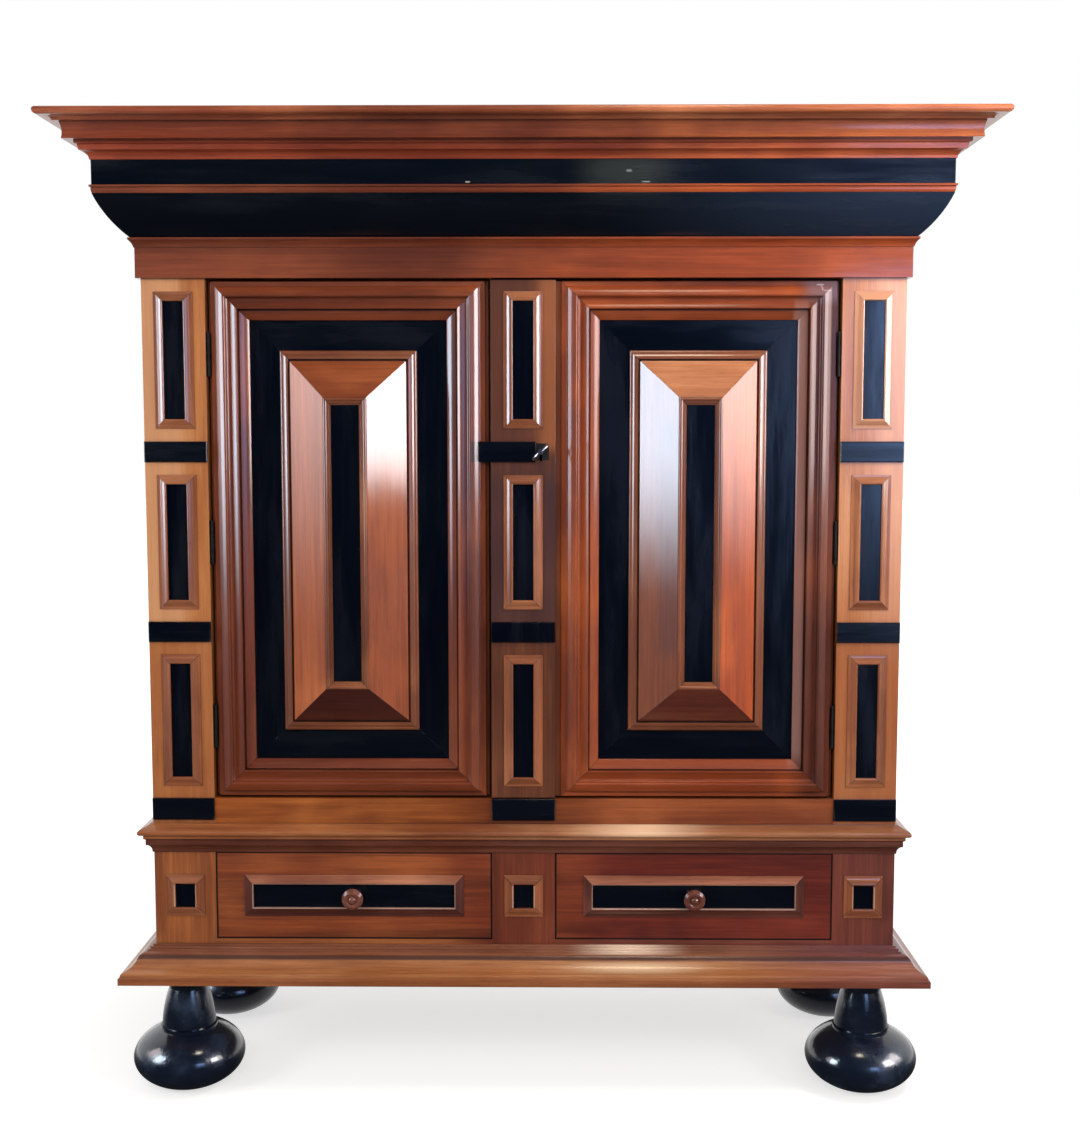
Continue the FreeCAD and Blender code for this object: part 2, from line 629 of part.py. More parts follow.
def door_surround():
    """Bottom rail, head rail and the four strips that the doors close against."""
    bottom = box(-POST_INNER, POST_INNER, 0, POST_DEPTH, BASE_TOP, DOOR_BAY_BOTTOM)
    head = box(-POST_INNER, POST_INNER, 0, POST_DEPTH, DOOR_BAY_TOP, ARCHITRAVE_TOP)
    y0 = STOP_FACE
    y1 = STOP_FACE + STOP_DEPTH
    sill = box(-POST_INNER, POST_INNER, y0, y1, DOOR_BAY_BOTTOM, DOOR_BAY_BOTTOM + STOP_WIDTH)
    lintel = box(-POST_INNER, POST_INNER, y0, y1, DOOR_BAY_TOP - STOP_WIDTH, DOOR_BAY_TOP)
    low = DOOR_BAY_BOTTOM + STOP_WIDTH
    high = DOOR_BAY_TOP - STOP_WIDTH
    jamb = box(POST_INNER - STOP_WIDTH, POST_INNER, y0, y1, low, high)
    hole = ROD_RADIUS + STRIKE_CLEARANCE
    deep = ROD_THROW + STOP_WIDTH
    down = rod(hole, (ROD_X, ROD_Y, DOOR_BAY_BOTTOM + STOP_WIDTH - deep), (0, 0, 1), deep)
    up = rod(hole, (ROD_X, ROD_Y, DOOR_BAY_TOP - STOP_WIDTH), (0, 0, 1), deep)
    return [bottom.cut(down), head.cut(up), sill.cut(down), lintel.cut(up), jamb, mirrored(jamb)]


def side_rail_heights():
    """Lower and upper edge of the three rails of a side."""
    middle = (BASE_TOP + ARCHITRAVE_TOP) / 2
    half = SIDE_MIDDLE_RAIL_HEIGHT / 2
    return [
        (BASE_TOP, BASE_TOP + SIDE_RAIL_HEIGHT),
        (middle - half, middle + half),
        (ARCHITRAVE_TOP - SIDE_RAIL_HEIGHT, ARCHITRAVE_TOP),
    ]


def side_panels():
    """The two fielded panels of the right side, with their tongues."""
    rails = side_rail_heights()
    rear = CASE_DEPTH - REAR_POST_WIDTH
    inner = HALF - (SIDE_RAIL_THICKNESS + SIDE_PANEL_THICKNESS) / 2
    tongue = SIDE_PANEL_TONGUE
    panels = []
    for (_, z0), (z1, _) in zip(rails, rails[1:]):
        board = box(inner, inner + SIDE_PANEL_THICKNESS, POST_DEPTH - tongue, rear + tongue, z0 - tongue, z1 + tongue)
        m = SIDE_PANEL_FIELD_MARGIN
        face = inner + SIDE_PANEL_THICKNESS
        rise = SIDE_PANEL_FIELD_RISE
        field = Part.makeWedge(
            POST_DEPTH + m / 2, 0, z0 + m / 2, z0 + m, POST_DEPTH + m,
            rear - m / 2, rise, z1 - m / 2, z1 - m, rear - m)
        field.rotate(FreeCAD.Vector(0, 0, 0), FreeCAD.Vector(0, 0, 1), -90)
        field = field.mirror(FreeCAD.Vector(0, 0, 0), FreeCAD.Vector(0, 1, 0))
        panels.append(board.fuse(field.translated(FreeCAD.Vector(face, 0, 0))).removeSplitter())
    return panels


def cupboard_sides():
    """Rails, rear post and panels of both sides."""
    panels = side_panels()
    rear = CASE_DEPTH - REAR_POST_WIDTH
    members = [box(HALF - REAR_POST_WIDTH, HALF, rear, CASE_DEPTH, BASE_TOP, ARCHITRAVE_TOP)]
    for z0, z1 in side_rail_heights():
        members.append(box(HALF - SIDE_RAIL_THICKNESS, HALF, POST_DEPTH, rear, z0, z1))
    solids = []
    for member in members:
        for panel in panels:
            member = member.cut(panel)
        solids.append(member)
    solids += panels
    return solids + [mirrored(s) for s in solids]


def carcase_boards():
    """Floor board and top board of the cupboard."""
    half = HALF - SIDE_RAIL_THICKNESS
    rear = CASE_DEPTH - REAR_POST_WIDTH
    back = HALF - REAR_POST_WIDTH
    boards = []
    top_z = (CUPBOARD_FLOOR_TOP - CUPBOARD_FLOOR_THICKNESS, CARCASE_TOP_BOTTOM)
    for z0, thickness in zip(top_z, (CUPBOARD_FLOOR_THICKNESS, CARCASE_TOP_THICKNESS)):
        front = box(-half, half, POST_DEPTH, rear, z0, z0 + thickness)
        behind = box(-back, back, rear, BACK_FACE, z0, z0 + thickness)
        boards.append(front.fuse(behind).removeSplitter())
    return boards


def back_boards():
    """Upright boards that close the back."""
    left = REAR_POST_WIDTH - HALF
    width = -2 * left / BACK_BOARD_COUNT
    return [
        box(left + i * width, left + (i + 1) * width, BACK_FACE, CASE_DEPTH, BASE_TOP, ARCHITRAVE_TOP)
        for i in range(BACK_BOARD_COUNT)
    ]


def shelves():
    """Shelves, and the bearers that carry their ends."""
    bay = CARCASE_TOP_BOTTOM - CUPBOARD_FLOOR_TOP
    step = (bay - SHELF_COUNT * SHELF_THICKNESS) / (SHELF_COUNT + 1)
    half = HALF - SIDE_RAIL_THICKNESS
    rear = CASE_DEPTH - REAR_POST_WIDTH
    back = HALF - REAR_POST_WIDTH
    solids = []
    for i in range(SHELF_COUNT):
        z0 = CUPBOARD_FLOOR_TOP + step + i * (step + SHELF_THICKNESS)
        z1 = z0 + SHELF_THICKNESS
        front = box(-half, half, POST_DEPTH + SHELF_SETBACK, rear, z0, z1)
        behind = box(-back, back, rear, BACK_FACE, z0, z1)
        bearer = box(half - BEARER_WIDTH, half, POST_DEPTH, rear, z0 - BEARER_HEIGHT, z0)
        solids += [front.fuse(behind).removeSplitter(), bearer, mirrored(bearer)]
    return solids


# ---------------------------------------------------------------- cornice
def architrave():
    """Plain board over the doors, with a sloped fillet at its top."""
    z0 = DOOR_BAY_TOP
    z1 = ARCHITRAVE_TOP
    a = ARCHITRAVE_REACH
    c = ARCHITRAVE_CAP_REACH
    profile = [
        (0, z0), (a, z0), (a, z1 - 19), (a + 1.5, z1 - 19), ((a + 4.5, z1 - 11), (c, z1 - 4)),
        (c, z1), (0, z1),
    ]
    return case_moulding(0, c, profile)


def cushion_frieze():
    """Ebony frieze that swells out from the architrave to the bead."""
    z0 = ARCHITRAVE_TOP
    z1 = CUSHION_TOP
    bulge = 7.5
    start = CUSHION_FOOT_REACH
    middle = ((start + CUSHION_REACH) / 2 + bulge, (z0 + z1) / 2)
    profile = [(-CUSHION_SEAT, z0), (start, z0), (middle, (CUSHION_REACH, z1)), (-CUSHION_SEAT, z1)]
    return case_moulding(-CUSHION_SEAT, CUSHION_REACH, profile)


def frieze_bead():
    """Thin wooden ovolo and fillet between the two ebony friezes."""
    z0 = CUSHION_TOP
    z1 = BEAD_TOP
    r = BEAD_REACH
    back = CORNICE_FRAME_REACH
    profile = [(back, z0), (r - 5, z0), ((r - 3, z0 + 5), (r - 3, z1 - 4)), (r, z1 - 4), (r, z1), (back, z1)]
    return case_moulding(back, r, profile)


def fascia():
    """Upright ebony frieze under the crown."""
    back = CORNICE_FRAME_REACH
    profile = [(back, BEAD_TOP), (FASCIA_REACH, BEAD_TOP), (FASCIA_REACH, FASCIA_TOP), (back, FASCIA_TOP)]
    return case_moulding(back, FASCIA_REACH, profile)


def crown_moulding():
    """Crown: a hollow, a raking band, a fillet, a tall hollow band, a cove and the nosing."""
    z0 = FASCIA_TOP
    z1 = CROWN_TOP
    r = CROWN_REACH
    back = CORNICE_FRAME_REACH
    low = FASCIA_REACH
    profile = [
        (back, z0), (low + 2, z0), (low + 3, z0 + 5), ((low + 8, z0 + 12), (low + 18, z0 + 16)),
        (low + 20, z0 + 26), (low + 25, z0 + 28), (low + 25, z0 + 33), (r - 42, z0 + 33),
        ((r - 43, z0 + 48), (r - 39, z1 - 22)), (r - 29, z1 - 22), ((r - 26, z1 - 17), (r - 17, z1 - 15)),
        (r - 8, z1 - 15), ((r, z1 - 7.5), (r - 7, z1)), (back, z1),
    ]
    return case_moulding(back, r, profile)


def cornice_frame():
    """Boards on edge behind the mouldings, with a rear board that closes the ring."""
    outer = CORNICE_FRAME_REACH
    inner = outer - SIDE_RAIL_THICKNESS
    z0 = CUSHION_TOP
    z1 = TOP_BOARD_BOTTOM
    front = box(-HALF - outer, HALF + outer, -outer, -inner, z0, z1)
    side = box(HALF + inner, HALF + outer, -inner, CASE_DEPTH, z0, z1)
    rear = box(-HALF - inner, HALF + inner, CASE_DEPTH - BOARD, CASE_DEPTH, z0, z1)
    low = HALF - CUSHION_SEAT
    rear_low = box(-low, low, CASE_DEPTH - BOARD, CASE_DEPTH, ARCHITRAVE_TOP, z0)
    return [front, side, mirrored(side), rear, rear_low]


def top_boards():
    """Boards that close the top of the cornice."""
    outer = HALF + CORNICE_FRAME_REACH
    depth = (CASE_DEPTH + CORNICE_FRAME_REACH) / TOP_BOARD_COUNT
    top = TOP_BOARD_BOTTOM + TOP_BOARD_THICKNESS
    return [
        box(-outer, outer, -CORNICE_FRAME_REACH + i * depth, -CORNICE_FRAME_REACH + (i + 1) * depth,
            TOP_BOARD_BOTTOM, top)
        for i in range(TOP_BOARD_COUNT)
    ]


# ---------------------------------------------------------------- doors
def door_moulding_profile():
    """Outer moulding: flat band, broad roll, hollow, rising hollow, quirk and a fall to the field."""
    w = MOULDING_WIDTH
    s = MOULDING_SLOPE
    back = LEAF_FACE
    return [
        (0, back), (0, 8.5), (1.5, 7), (s - 4, 7), (s - 2, 4), (s, 3.5), (s, -4.5),
        ((s + 6.1, -8.7), (s + 13, 0.5 - MOULDING_FRONT)), ((s + 16, -MOULDING_FRONT), (s + 19, -9.5)),
        (s + 20, -4), ((s + 24, -1.5), (s + 29, -2.5)), ((s + 35.6, -5), (s + 41.5, -9)), (s + 43, -8.5),
        (s + 43, 5), (s + 46, 5), (s + 46, 1), ((w - 8.5, 5), (w, 11)), (w, back),
    ]


def inner_moulding_profile():
    """Bead, long fall and quirk between the ebony field and the pyramid."""
    back = LEAF_FACE
    w = INNER_MOULDING_WIDTH
    return [
        (0, back), (0, 9.5), ((2, 7.2), (5, 6.5)), (6.5, 6.5), ((11, 3.7), (w - 4.5, 2)), (w - 4, 3),
        (w - 4, 12), (w, 12), (w, back),
    ]


def strip_frame_profile():
    """Thin moulding round the ebony strip at the top of the pyramid."""
    base = CORE_FACE
    top = base - STRIP_FRAME_HEIGHT
    w = STRIP_FRAME_WIDTH
    return [
        (0, base), (0, top + 3), ((4, top - 1), (8, top + 2)), (w - 4, top + 2), (w - 3, top + 5), (w, top + 5),
        (w, base),
    ]


def facet_profile():
    """Inclined board of the pyramid, from the inner moulding up to the middle strip."""
    w = FACET_WIDTH
    return [(0, LEAF_FACE), (0, FACET_START), (w, FACET_TOP_FACE), (w, CORE_FACE), (FACET_SEAT, LEAF_FACE)]


def nested(inset):
    """Rectangle of the right door's face, moved in from the moulding's outer edge."""
    return (MOULDING_INNER + inset, MOULDING_OUTER - inset, MOULDING_BOTTOM + inset, MOULDING_TOP - inset)


FIELD_INSET = MOULDING_WIDTH
INNER_INSET = FIELD_INSET + FIELD_WIDTH
FACET_INSET = INNER_INSET + INNER_MOULDING_WIDTH
STRIP_FRAME_INSET = FACET_INSET + FACET_WIDTH
STRIP_INSET = STRIP_FRAME_INSET + STRIP_FRAME_WIDTH


def door_face():
    """Mouldings, ebony and facets of the right door, by sub-part."""
    field = [(0, LEAF_FACE), (0, FIELD_FACE), (FIELD_WIDTH, FIELD_FACE), (FIELD_WIDTH, LEAF_FACE)]
    x0, x1, z0, z1 = nested(STRIP_INSET)
    strip = box(x0, x1, CORE_FACE - STRIP_THICKNESS, CORE_FACE, z0, z1)
    return {
        "moulding": mitred_frame(*nested(0), MOULDING_WIDTH, door_moulding_profile()),
        "ebony": mitred_frame(*nested(FIELD_INSET), FIELD_WIDTH, field) + [strip],
        "inner_moulding": mitred_frame(*nested(INNER_INSET), INNER_MOULDING_WIDTH, inner_moulding_profile())
        + mitred_frame(*nested(STRIP_FRAME_INSET), STRIP_FRAME_WIDTH, strip_frame_profile()),
        "facets": mitred_frame(*nested(FACET_INSET), FACET_WIDTH, facet_profile()),
    }


def leaf(meeting_edge, meeting_stile):
    """Stiles, rails, panel and pyramid block of a leaf whose hinges are at the right."""
    y0 = LEAF_FACE
    y1 = LEAF_BACK
    inner = LEAF_OUTER - STILE_WIDTH
    first = meeting_edge + meeting_stile
    low = LEAF_BOTTOM + STILE_WIDTH
    high = LEAF_TOP - STILE_WIDTH
    hinge_stile = box(inner, LEAF_OUTER, y0, y1, LEAF_BOTTOM, LEAF_TOP)
    for z in HINGE_HEIGHTS:
        hinge_stile = hinge_stile.cut(hinge_door_foot(z))
    x0, x1, z0, z1 = nested(STRIP_FRAME_INSET)
    return [
        hinge_stile,
        box(meeting_edge, first, y0, y1, LEAF_BOTTOM, LEAF_TOP),
        box(first, inner, y0, y1, LEAF_BOTTOM, low),
        box(first, inner, y0, y1, high, LEAF_TOP),
        box(first, inner, y0, y1 - BOARD / 2, low, high),
        box(x0, x1, CORE_FACE, y0, z0, z1),
    ]


def left_leaf():
    """Left leaf, and the strip on its back that the right leaf closes against."""
    solids = [mirrored(s) for s in leaf(-LEFT_LEAF_EDGE, STILE_WIDTH)]
    y0 = LEAF_BACK
    low = DOOR_BAY_BOTTOM + STOP_WIDTH + DOOR_BOTTOM_GAP
    high = DOOR_BAY_TOP - STOP_WIDTH - DOOR_TOP_GAP
    strip = box(LIP_RIGHT - LIP_WIDTH, LIP_RIGHT, y0, y0 + LIP_THICKNESS, low, high)
    relief = box(LEFT_LEAF_EDGE, LIP_RIGHT, y0, y0 + FIT, low, high)
    return solids + [strip.cut(relief)]


def right_leaf():
    """Right leaf, whose wide meeting stile carries the pilaster, and the filler beside it."""
    stile = CENTRE_WIDTH + STILE_WIDTH
    solids = leaf(CENTRE_LEFT, stile)
    solids[1] = solids[1].cut(keyhole(LEAF_FACE, LEAF_BACK))
    solids.append(box(CENTRE_RIGHT, MOULDING_INNER, FILLER_FACE, LEAF_FACE, MOULDING_BOTTOM, MOULDING_TOP))
    return solids


def centre_pilaster():
    """Board on the right leaf, with the keyhole, its plate's seat and the slider's groove."""
    board = box(CENTRE_LEFT, CENTRE_RIGHT, 0, LEAF_FACE, LEAF_BOTTOM, LEAF_TOP)
    groove = slider_tongue(CENTRE_LEFT, SLIDER_LEFT + SLIDER_LENGTH, FIT)
    seat = keyhole_plate_blank()
    return [board.cut(groove).cut(seat).cut(keyhole(0, LEAF_FACE))]


# ---------------------------------------------------------------- slider, lock and key
def slider_tongue(x0, x1, clearance):
    """Dovetailed tongue on the slider's back, or with a clearance the groove that it runs in."""
    neck = SLIDER_TONGUE_NECK + clearance
    half = SLIDER_TONGUE_HALF + clearance
    deep = SLIDER_TONGUE_DEPTH + clearance
    face = -FIT if clearance == 0 else 0.0
    outline = [(-neck, face), (neck, face), (half, deep), (-half, deep)]
    points = [FreeCAD.Vector(x0, y, UPPER_BAND_Z + z) for z, y in outline]
    return polygon_prism(points, FreeCAD.Vector(x1 - x0, 0, 0))


def keyhole_slider():
    """Upper band of the centre pilaster: it slides aside to bare the keyhole."""
    half = BAND_HEIGHT / 2
    block = band(SLIDER_LEFT, SLIDER_LEFT + SLIDER_LENGTH, UPPER_BAND_Z - half, UPPER_BAND_Z + half)
    block = block.cut(box(SLIDER_LEFT - SLIVER, SLIDER_LEFT + SLIDER_LENGTH + SLIVER, -FIT, SLIVER,
                          UPPER_BAND_Z - half - SLIVER, UPPER_BAND_Z + half + SLIVER))
    end = KEY_X - KEYHOLE_PLATE_HALF_WIDTH - SLIDER_TRAVEL - FIT
    tongue = slider_tongue(end - SLIDER_TONGUE_LENGTH, end, 0)
    return [block.fuse(tongue).removeSplitter()]


def keyhole(y0, y1):
    """Round hole with the slot for the key's bit under it."""
    hole = rod(KEY_STEM_RADIUS + KEY_CLEARANCE, (KEY_X, y0, KEY_Z), (0, 1, 0), y1 - y0)
    slot = box(KEY_X - KEYHOLE_SLOT_HALF, KEY_X + KEYHOLE_SLOT_HALF, y0, y1,
               KEY_Z - KEY_STEM_RADIUS - KEYHOLE_SLOT_LENGTH, KEY_Z)
    return hole.fuse(slot)


def keyhole_plate_blank():
    """Iron plate that lies flush in the pilaster round the keyhole."""
    return box(KEY_X - KEYHOLE_PLATE_HALF_WIDTH, KEY_X + KEYHOLE_PLATE_HALF_WIDTH, 0, KEYHOLE_PLATE_THICKNESS,
               KEY_Z - KEYHOLE_PLATE_HALF_HEIGHT, KEY_Z + KEYHOLE_PLATE_HALF_HEIGHT)


def lock_case():
    """Case on the back of the right leaf, and the keyhole plate on its front."""
    y0 = LEAF_BACK
    y1 = LEAF_BACK + LOCK_DEPTH
    z0 = KEY_Z - LOCK_BELOW_KEY
    z1 = KEY_Z + LOCK_ABOVE_KEY
    wall = LOCK_WALL
    case = box(LOCK_LEFT, LOCK_RIGHT, y0, y1, z0, z1)
    case = case.cut(box(LOCK_LEFT + wall, LOCK_RIGHT - wall, y0 + wall, y1 - wall, z0 + wall, z1 - wall))
    case = case.cut(keyhole(y0, y0 + wall))
    x0, x1, b0, b1, c0, c1 = lock_bolt_box()
    case = case.cut(box(LOCK_LEFT, LOCK_LEFT + wall, b0 - FIT, b1 + FIT, c0 - FIT, c1 + FIT))
    ledge = box(KEY_X, LOCK_RIGHT - wall, y0 + wall, y1 - wall, c0 - FIT - wall, c0 - FIT)
    return [case.fuse(ledge).removeSplitter(), keyhole_plate_blank().cut(keyhole(0, KEYHOLE_PLATE_THICKNESS))]


def lock_bolt_box():
    """Limits of the bolt at rest, drawn back into the case."""
    y_middle = LEAF_BACK + LOCK_DEPTH / 2 + 3.0
    z0 = KEY_Z + BOLT_ABOVE_KEY
    half = BOLT_THICKNESS / 2
    return LOCK_LEFT, LOCK_LEFT + BOLT_LENGTH, y_middle - half, y_middle + half, z0, z0 + BOLT_HEIGHT


def keeper():
    """Iron box on the left door's meeting strip that the lock bolt enters."""
    _, _, y0, y1, z0, z1 = lock_bolt_box()
    right = LIP_RIGHT - 2 * KEEPER_WALL
    left = LOCK_LEFT - BOLT_THROW - 2 * KEEPER_WALL
    wall = KEEPER_WALL
    base = LEAF_BACK + LIP_THICKNESS
    block = box(left, right, base, y1 + wall + SLIVER, z0 - wall - SLIVER, z1 + wall + SLIVER)
    return block.cut(box(left + wall, right + wall, y0 - SLIVER, y1 + SLIVER, z0 - SLIVER, z1 + SLIVER))


def key():
    """Key with a ring bow, a stem and a bit, turned as it is left in the lock."""
    bow_middle = -KEY_BOW_FACE - KEY_BOW_LENGTH / 2
    ring = Part.makeTorus(KEY_BOW_RADIUS - KEY_BOW_BAR, KEY_BOW_BAR, FreeCAD.Vector(0, 0, 0), FreeCAD.Vector(1, 0, 0))
    squash = FreeCAD.Matrix()
    squash.scale(1, KEY_BOW_LENGTH / (2 * KEY_BOW_RADIUS), 1)
    ring = ring.transformGeometry(squash).translated(FreeCAD.Vector(0, bow_middle, 0))
    bow_end = bow_middle + KEY_BOW_LENGTH / 2 - KEY_BOW_BAR
    tip = LEAF_BACK + LOCK_DEPTH - LOCK_WALL - SLIVER
    stem = rod(KEY_STEM_RADIUS, (0, bow_end, 0), (0, 1, 0), tip - bow_end)
    collar = rod(KEY_STEM_RADIUS + 2, (0, bow_end + 6, 0), (0, 1, 0), 5)
    bit_start = LEAF_BACK + LOCK_WALL + SLIVER
    bit = box(-KEY_BIT_THICKNESS / 2, KEY_BIT_THICKNESS / 2, bit_start, bit_start + KEY_BIT_LENGTH,
              -KEY_BIT_REACH, 0)
    solid = ring.fuse([stem, collar, bit]).removeSplitter()
    solid.rotate(FreeCAD.Vector(0, 0, 0), FreeCAD.Vector(0, 1, 0), KEY_TURN_AT_REST)
    return [solid.translated(FreeCAD.Vector(KEY_X, 0, KEY_Z))]


# ---------------------------------------------------------------- hinges
def hinge_post_plate(z):
    """Plate let into the right post's side."""
    half = HINGE_HEIGHT / 2
    return box(POST_INNER, POST_INNER + HINGE_LEAF, SLIVER, SLIVER + HINGE_POST_PLATE_DEPTH, z - half, z + half)


def hinge_door_foot(z):
    """End of the strap, let into the leaf's face under the moulding."""
    half = HINGE_HEIGHT / 6 - KNUCKLE_GAP
    return box(MOULDING_OUTER - HINGE_STRAP_LENGTH, LEAF_OUTER - HINGE_LEAF, LEAF_FACE, LEAF_FACE + HINGE_LEAF,
               z - half, z + half)


def hinge_fixed_part(z):
    """Plate with the upper and lower knuckle, and the pin."""
    plate = hinge_post_plate(z)
    third = HINGE_HEIGHT / 3
    for z0 in (z - HINGE_HEIGHT / 2, z + third / 2):
        barrel = rod(HINGE_BARREL_RADIUS, (HINGE_X, HINGE_AXIS_Y, z0), (0, 0, 1), third)
        web = box(HINGE_X, POST_INNER, HINGE_AXIS_Y - HINGE_LEAF / 2, HINGE_AXIS_Y + HINGE_LEAF / 2, z0, z0 + third)
        plate = plate.fuse(barrel).fuse(web)
    pin = rod(HINGE_PIN_RADIUS, (HINGE_X, HINGE_AXIS_Y, z - HINGE_HEIGHT / 2), (0, 0, 1), HINGE_HEIGHT)
    return [plate.cut(pin).removeSplitter(), pin]


def hinge_strap(z):
    """Middle knuckle with the cranked strap to the leaf."""
    half = HINGE_HEIGHT / 6 - KNUCKLE_GAP
    barrel = rod(HINGE_BARREL_RADIUS, (HINGE_X, HINGE_AXIS_Y, z - half), (0, 0, 1), 2 * half)
    outer = HINGE_X - HINGE_BARREL_RADIUS + HINGE_LEAF
    inner = HINGE_X - HINGE_BARREL_RADIUS
    arm = box(inner, outer, HINGE_AXIS_Y, LEAF_FACE, z - half, z + half)
    foot = hinge_door_foot(z)
    strap = barrel.fuse([arm, foot]).removeSplitter()
    bore = rod(HINGE_PIN_RADIUS + HINGE_PIN_CLEARANCE, (HINGE_X, HINGE_AXIS_Y, z - half - SLIVER), (0, 0, 1),
               2 * half + 2 * SLIVER)
    return strap.cut(bore)


# ---------------------------------------------------------------- bolts of the left door
def door_bolt(upward):
    """Round bolt with a knob, drawn clear of the frame, and its two staples."""
    sign = 1 if upward else -1
    stop = (DOOR_BAY_TOP - STOP_WIDTH) if upward else (DOOR_BAY_BOTTOM + STOP_WIDTH)
    tip = stop - sign * ROD_REST_GAP
    bar = rod(ROD_RADIUS, (ROD_X, ROD_Y, tip), (0, 0, -sign), ROD_LENGTH)
    middle = tip - sign * ROD_LENGTH / 2
    knob = rod(ROD_RADIUS * 0.8, (ROD_X, ROD_Y, middle), (0, 1, 0), ROD_KNOB_LENGTH)
    end = Part.makeSphere(ROD_KNOB_RADIUS, FreeCAD.Vector(ROD_X, ROD_Y + ROD_KNOB_LENGTH, middle))
    staples = []
    for along in (ROD_THROW + ROD_STAPLE_HEIGHT, ROD_LENGTH - ROD_THROW):
        z = tip - sign * along
        half = ROD_STAPLE_HALF
        block = box(ROD_X - half, ROD_X + half, LEAF_BACK, ROD_Y + ROD_RADIUS + 4, z - ROD_STAPLE_HEIGHT / 2,
                    z + ROD_STAPLE_HEIGHT / 2)
        bore = rod(ROD_RADIUS + ROD_CLEARANCE, (ROD_X, ROD_Y, z - ROD_STAPLE_HEIGHT), (0, 0, 1), 2 * ROD_STAPLE_HEIGHT)
        staples.append(block.cut(bore))
    return [bar.fuse([knob, end]).removeSplitter()], staples


# ---------------------------------------------------------------- assembly
def build():
    """All sub-parts: name to list of solids."""
    nodes = {name: [turned_foot(x, y)] for name, (x, y) in foot_places().items()}
    nodes["base_floor"] = base_floor()
    nodes["base_case"] = base_case()
    nodes["base_front_frame"] = base_front_frame()
    nodes["drawer_runners"] = drawer_runners()
    nodes["plinth_moulding"] = plinth_moulding()
    nodes["waist_moulding"] = waist_moulding()
    for side, (x0, x1) in drawer_bays().items():
        inset, frame = drawer_panel(x0, x1)
        nodes[f"drawer_{side}_front"] = drawer_front(x0, x1)
        nodes[f"drawer_{side}_box"] = drawer_box(x0, x1)
        nodes[f"drawer_{side}_inset"] = [inset]
        nodes[f"drawer_{side}_frame"] = frame
        nodes[f"drawer_{side}_knob"] = drawer_knob(x0, x1)

    right_post = post()
    nodes["post_right"] = [right_post]
    nodes["post_left"] = [mirrored(right_post)]
    nodes["door_surround"] = door_surround()
    nodes["cupboard_sides"] = cupboard_sides()
    nodes["carcase_boards"] = carcase_boards()
    nodes["back_boards"] = back_boards()
    nodes["shelves"] = shelves()
    nodes["ebony_insets"], nodes["inset_frames"] = fixed_insets()
    nodes["ebony_bands"] = ebony_bands()

    nodes["architrave"] = architrave()
    nodes["frieze_ebony"] = cushion_frieze() + fascia()
    nodes["frieze_bead"] = frieze_bead()
    nodes["crown_moulding"] = crown_moulding()
    nodes["cornice_frame"] = cornice_frame()
    nodes["top_boards"] = top_boards()

    nodes["door_right_frame"] = right_leaf()
    nodes["door_left_frame"] = left_leaf()
    for name, solids in door_face().items():
        nodes[f"door_right_{name}"] = solids
        nodes[f"door_left_{name}"] = [mirrored(s) for s in solids]
    nodes["centre_pilaster"] = centre_pilaster()
    insets, frames = pilaster_panels(0)
    lower_band = band(CENTRE_LEFT, CENTRE_RIGHT, LOWER_BAND_Z - BAND_HEIGHT / 2, LOWER_BAND_Z + BAND_HEIGHT / 2)
    nodes["centre_pilaster_frames"] = frames
    nodes["centre_pilaster_ebony"] = insets + [lower_band]
    nodes["keyhole_slider"] = keyhole_slider()
    nodes["lock_case"] = lock_case()
    nodes["lock_bolt"] = [box(*lock_bolt_box())]
    nodes["key"] = key()

    fixed = [solid for z in HINGE_HEIGHTS for solid in hinge_fixed_part(z)]
    straps = [hinge_strap(z) for z in HINGE_HEIGHTS]
    nodes["hinge_plates"] = fixed + [mirrored(s) for s in fixed]
    nodes["hinge_straps_right"] = straps
    nodes["hinge_straps_left"] = [mirrored(s) for s in straps]
    nodes["top_bolt"], top_staples = door_bolt(True)
    nodes["bottom_bolt"], bottom_staples = door_bolt(False)
    nodes["left_door_irons"] = top_staples + bottom_staples + [keeper()]
    return nodes


def export(nodes):
    """One STEP file for each sub-part, with the origin under the middle of the cupboard."""
    os.makedirs("parts", exist_ok=True)
    for name, solids in nodes.items():
        moved = [solid.translated(FreeCAD.Vector(0, CENTRING_SHIFT, 0)) for solid in solids]
        shape = moved[0] if len(moved) == 1 else Part.makeCompound(moved)
        shape.exportStep(f"parts/{name}.step")


export(build())
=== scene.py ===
"""Looks of the kas cupboard: materials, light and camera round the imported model."""

from math import pi

import bpy
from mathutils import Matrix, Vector


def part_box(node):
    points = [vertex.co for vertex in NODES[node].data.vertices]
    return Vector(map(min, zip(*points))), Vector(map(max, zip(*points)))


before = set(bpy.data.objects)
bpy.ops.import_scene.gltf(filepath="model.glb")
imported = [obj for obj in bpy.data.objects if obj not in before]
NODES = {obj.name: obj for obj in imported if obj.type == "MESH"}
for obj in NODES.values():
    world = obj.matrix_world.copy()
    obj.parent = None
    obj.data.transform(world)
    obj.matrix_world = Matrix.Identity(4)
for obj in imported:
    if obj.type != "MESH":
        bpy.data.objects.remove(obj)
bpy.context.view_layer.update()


# ---------------------------------------------------------------- places, from the frame
def middle(node):
    """Centre of a node's box at rest."""
    low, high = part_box(node)
    return (low + high) / 2


def half(node):
    """Half of each side of a node's box at rest."""
    low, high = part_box(node)
    return (high - low) / 2


FRONT_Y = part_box("post_left")[0].y
SIDE_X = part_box("post_right")[1].x
BASE_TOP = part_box("base_front_frame")[1].z
POST_X = middle("post_right").x
POST_INNER_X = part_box("post_right")[0].x
CENTRE_HALF_WIDTH = half("centre_pilaster").x

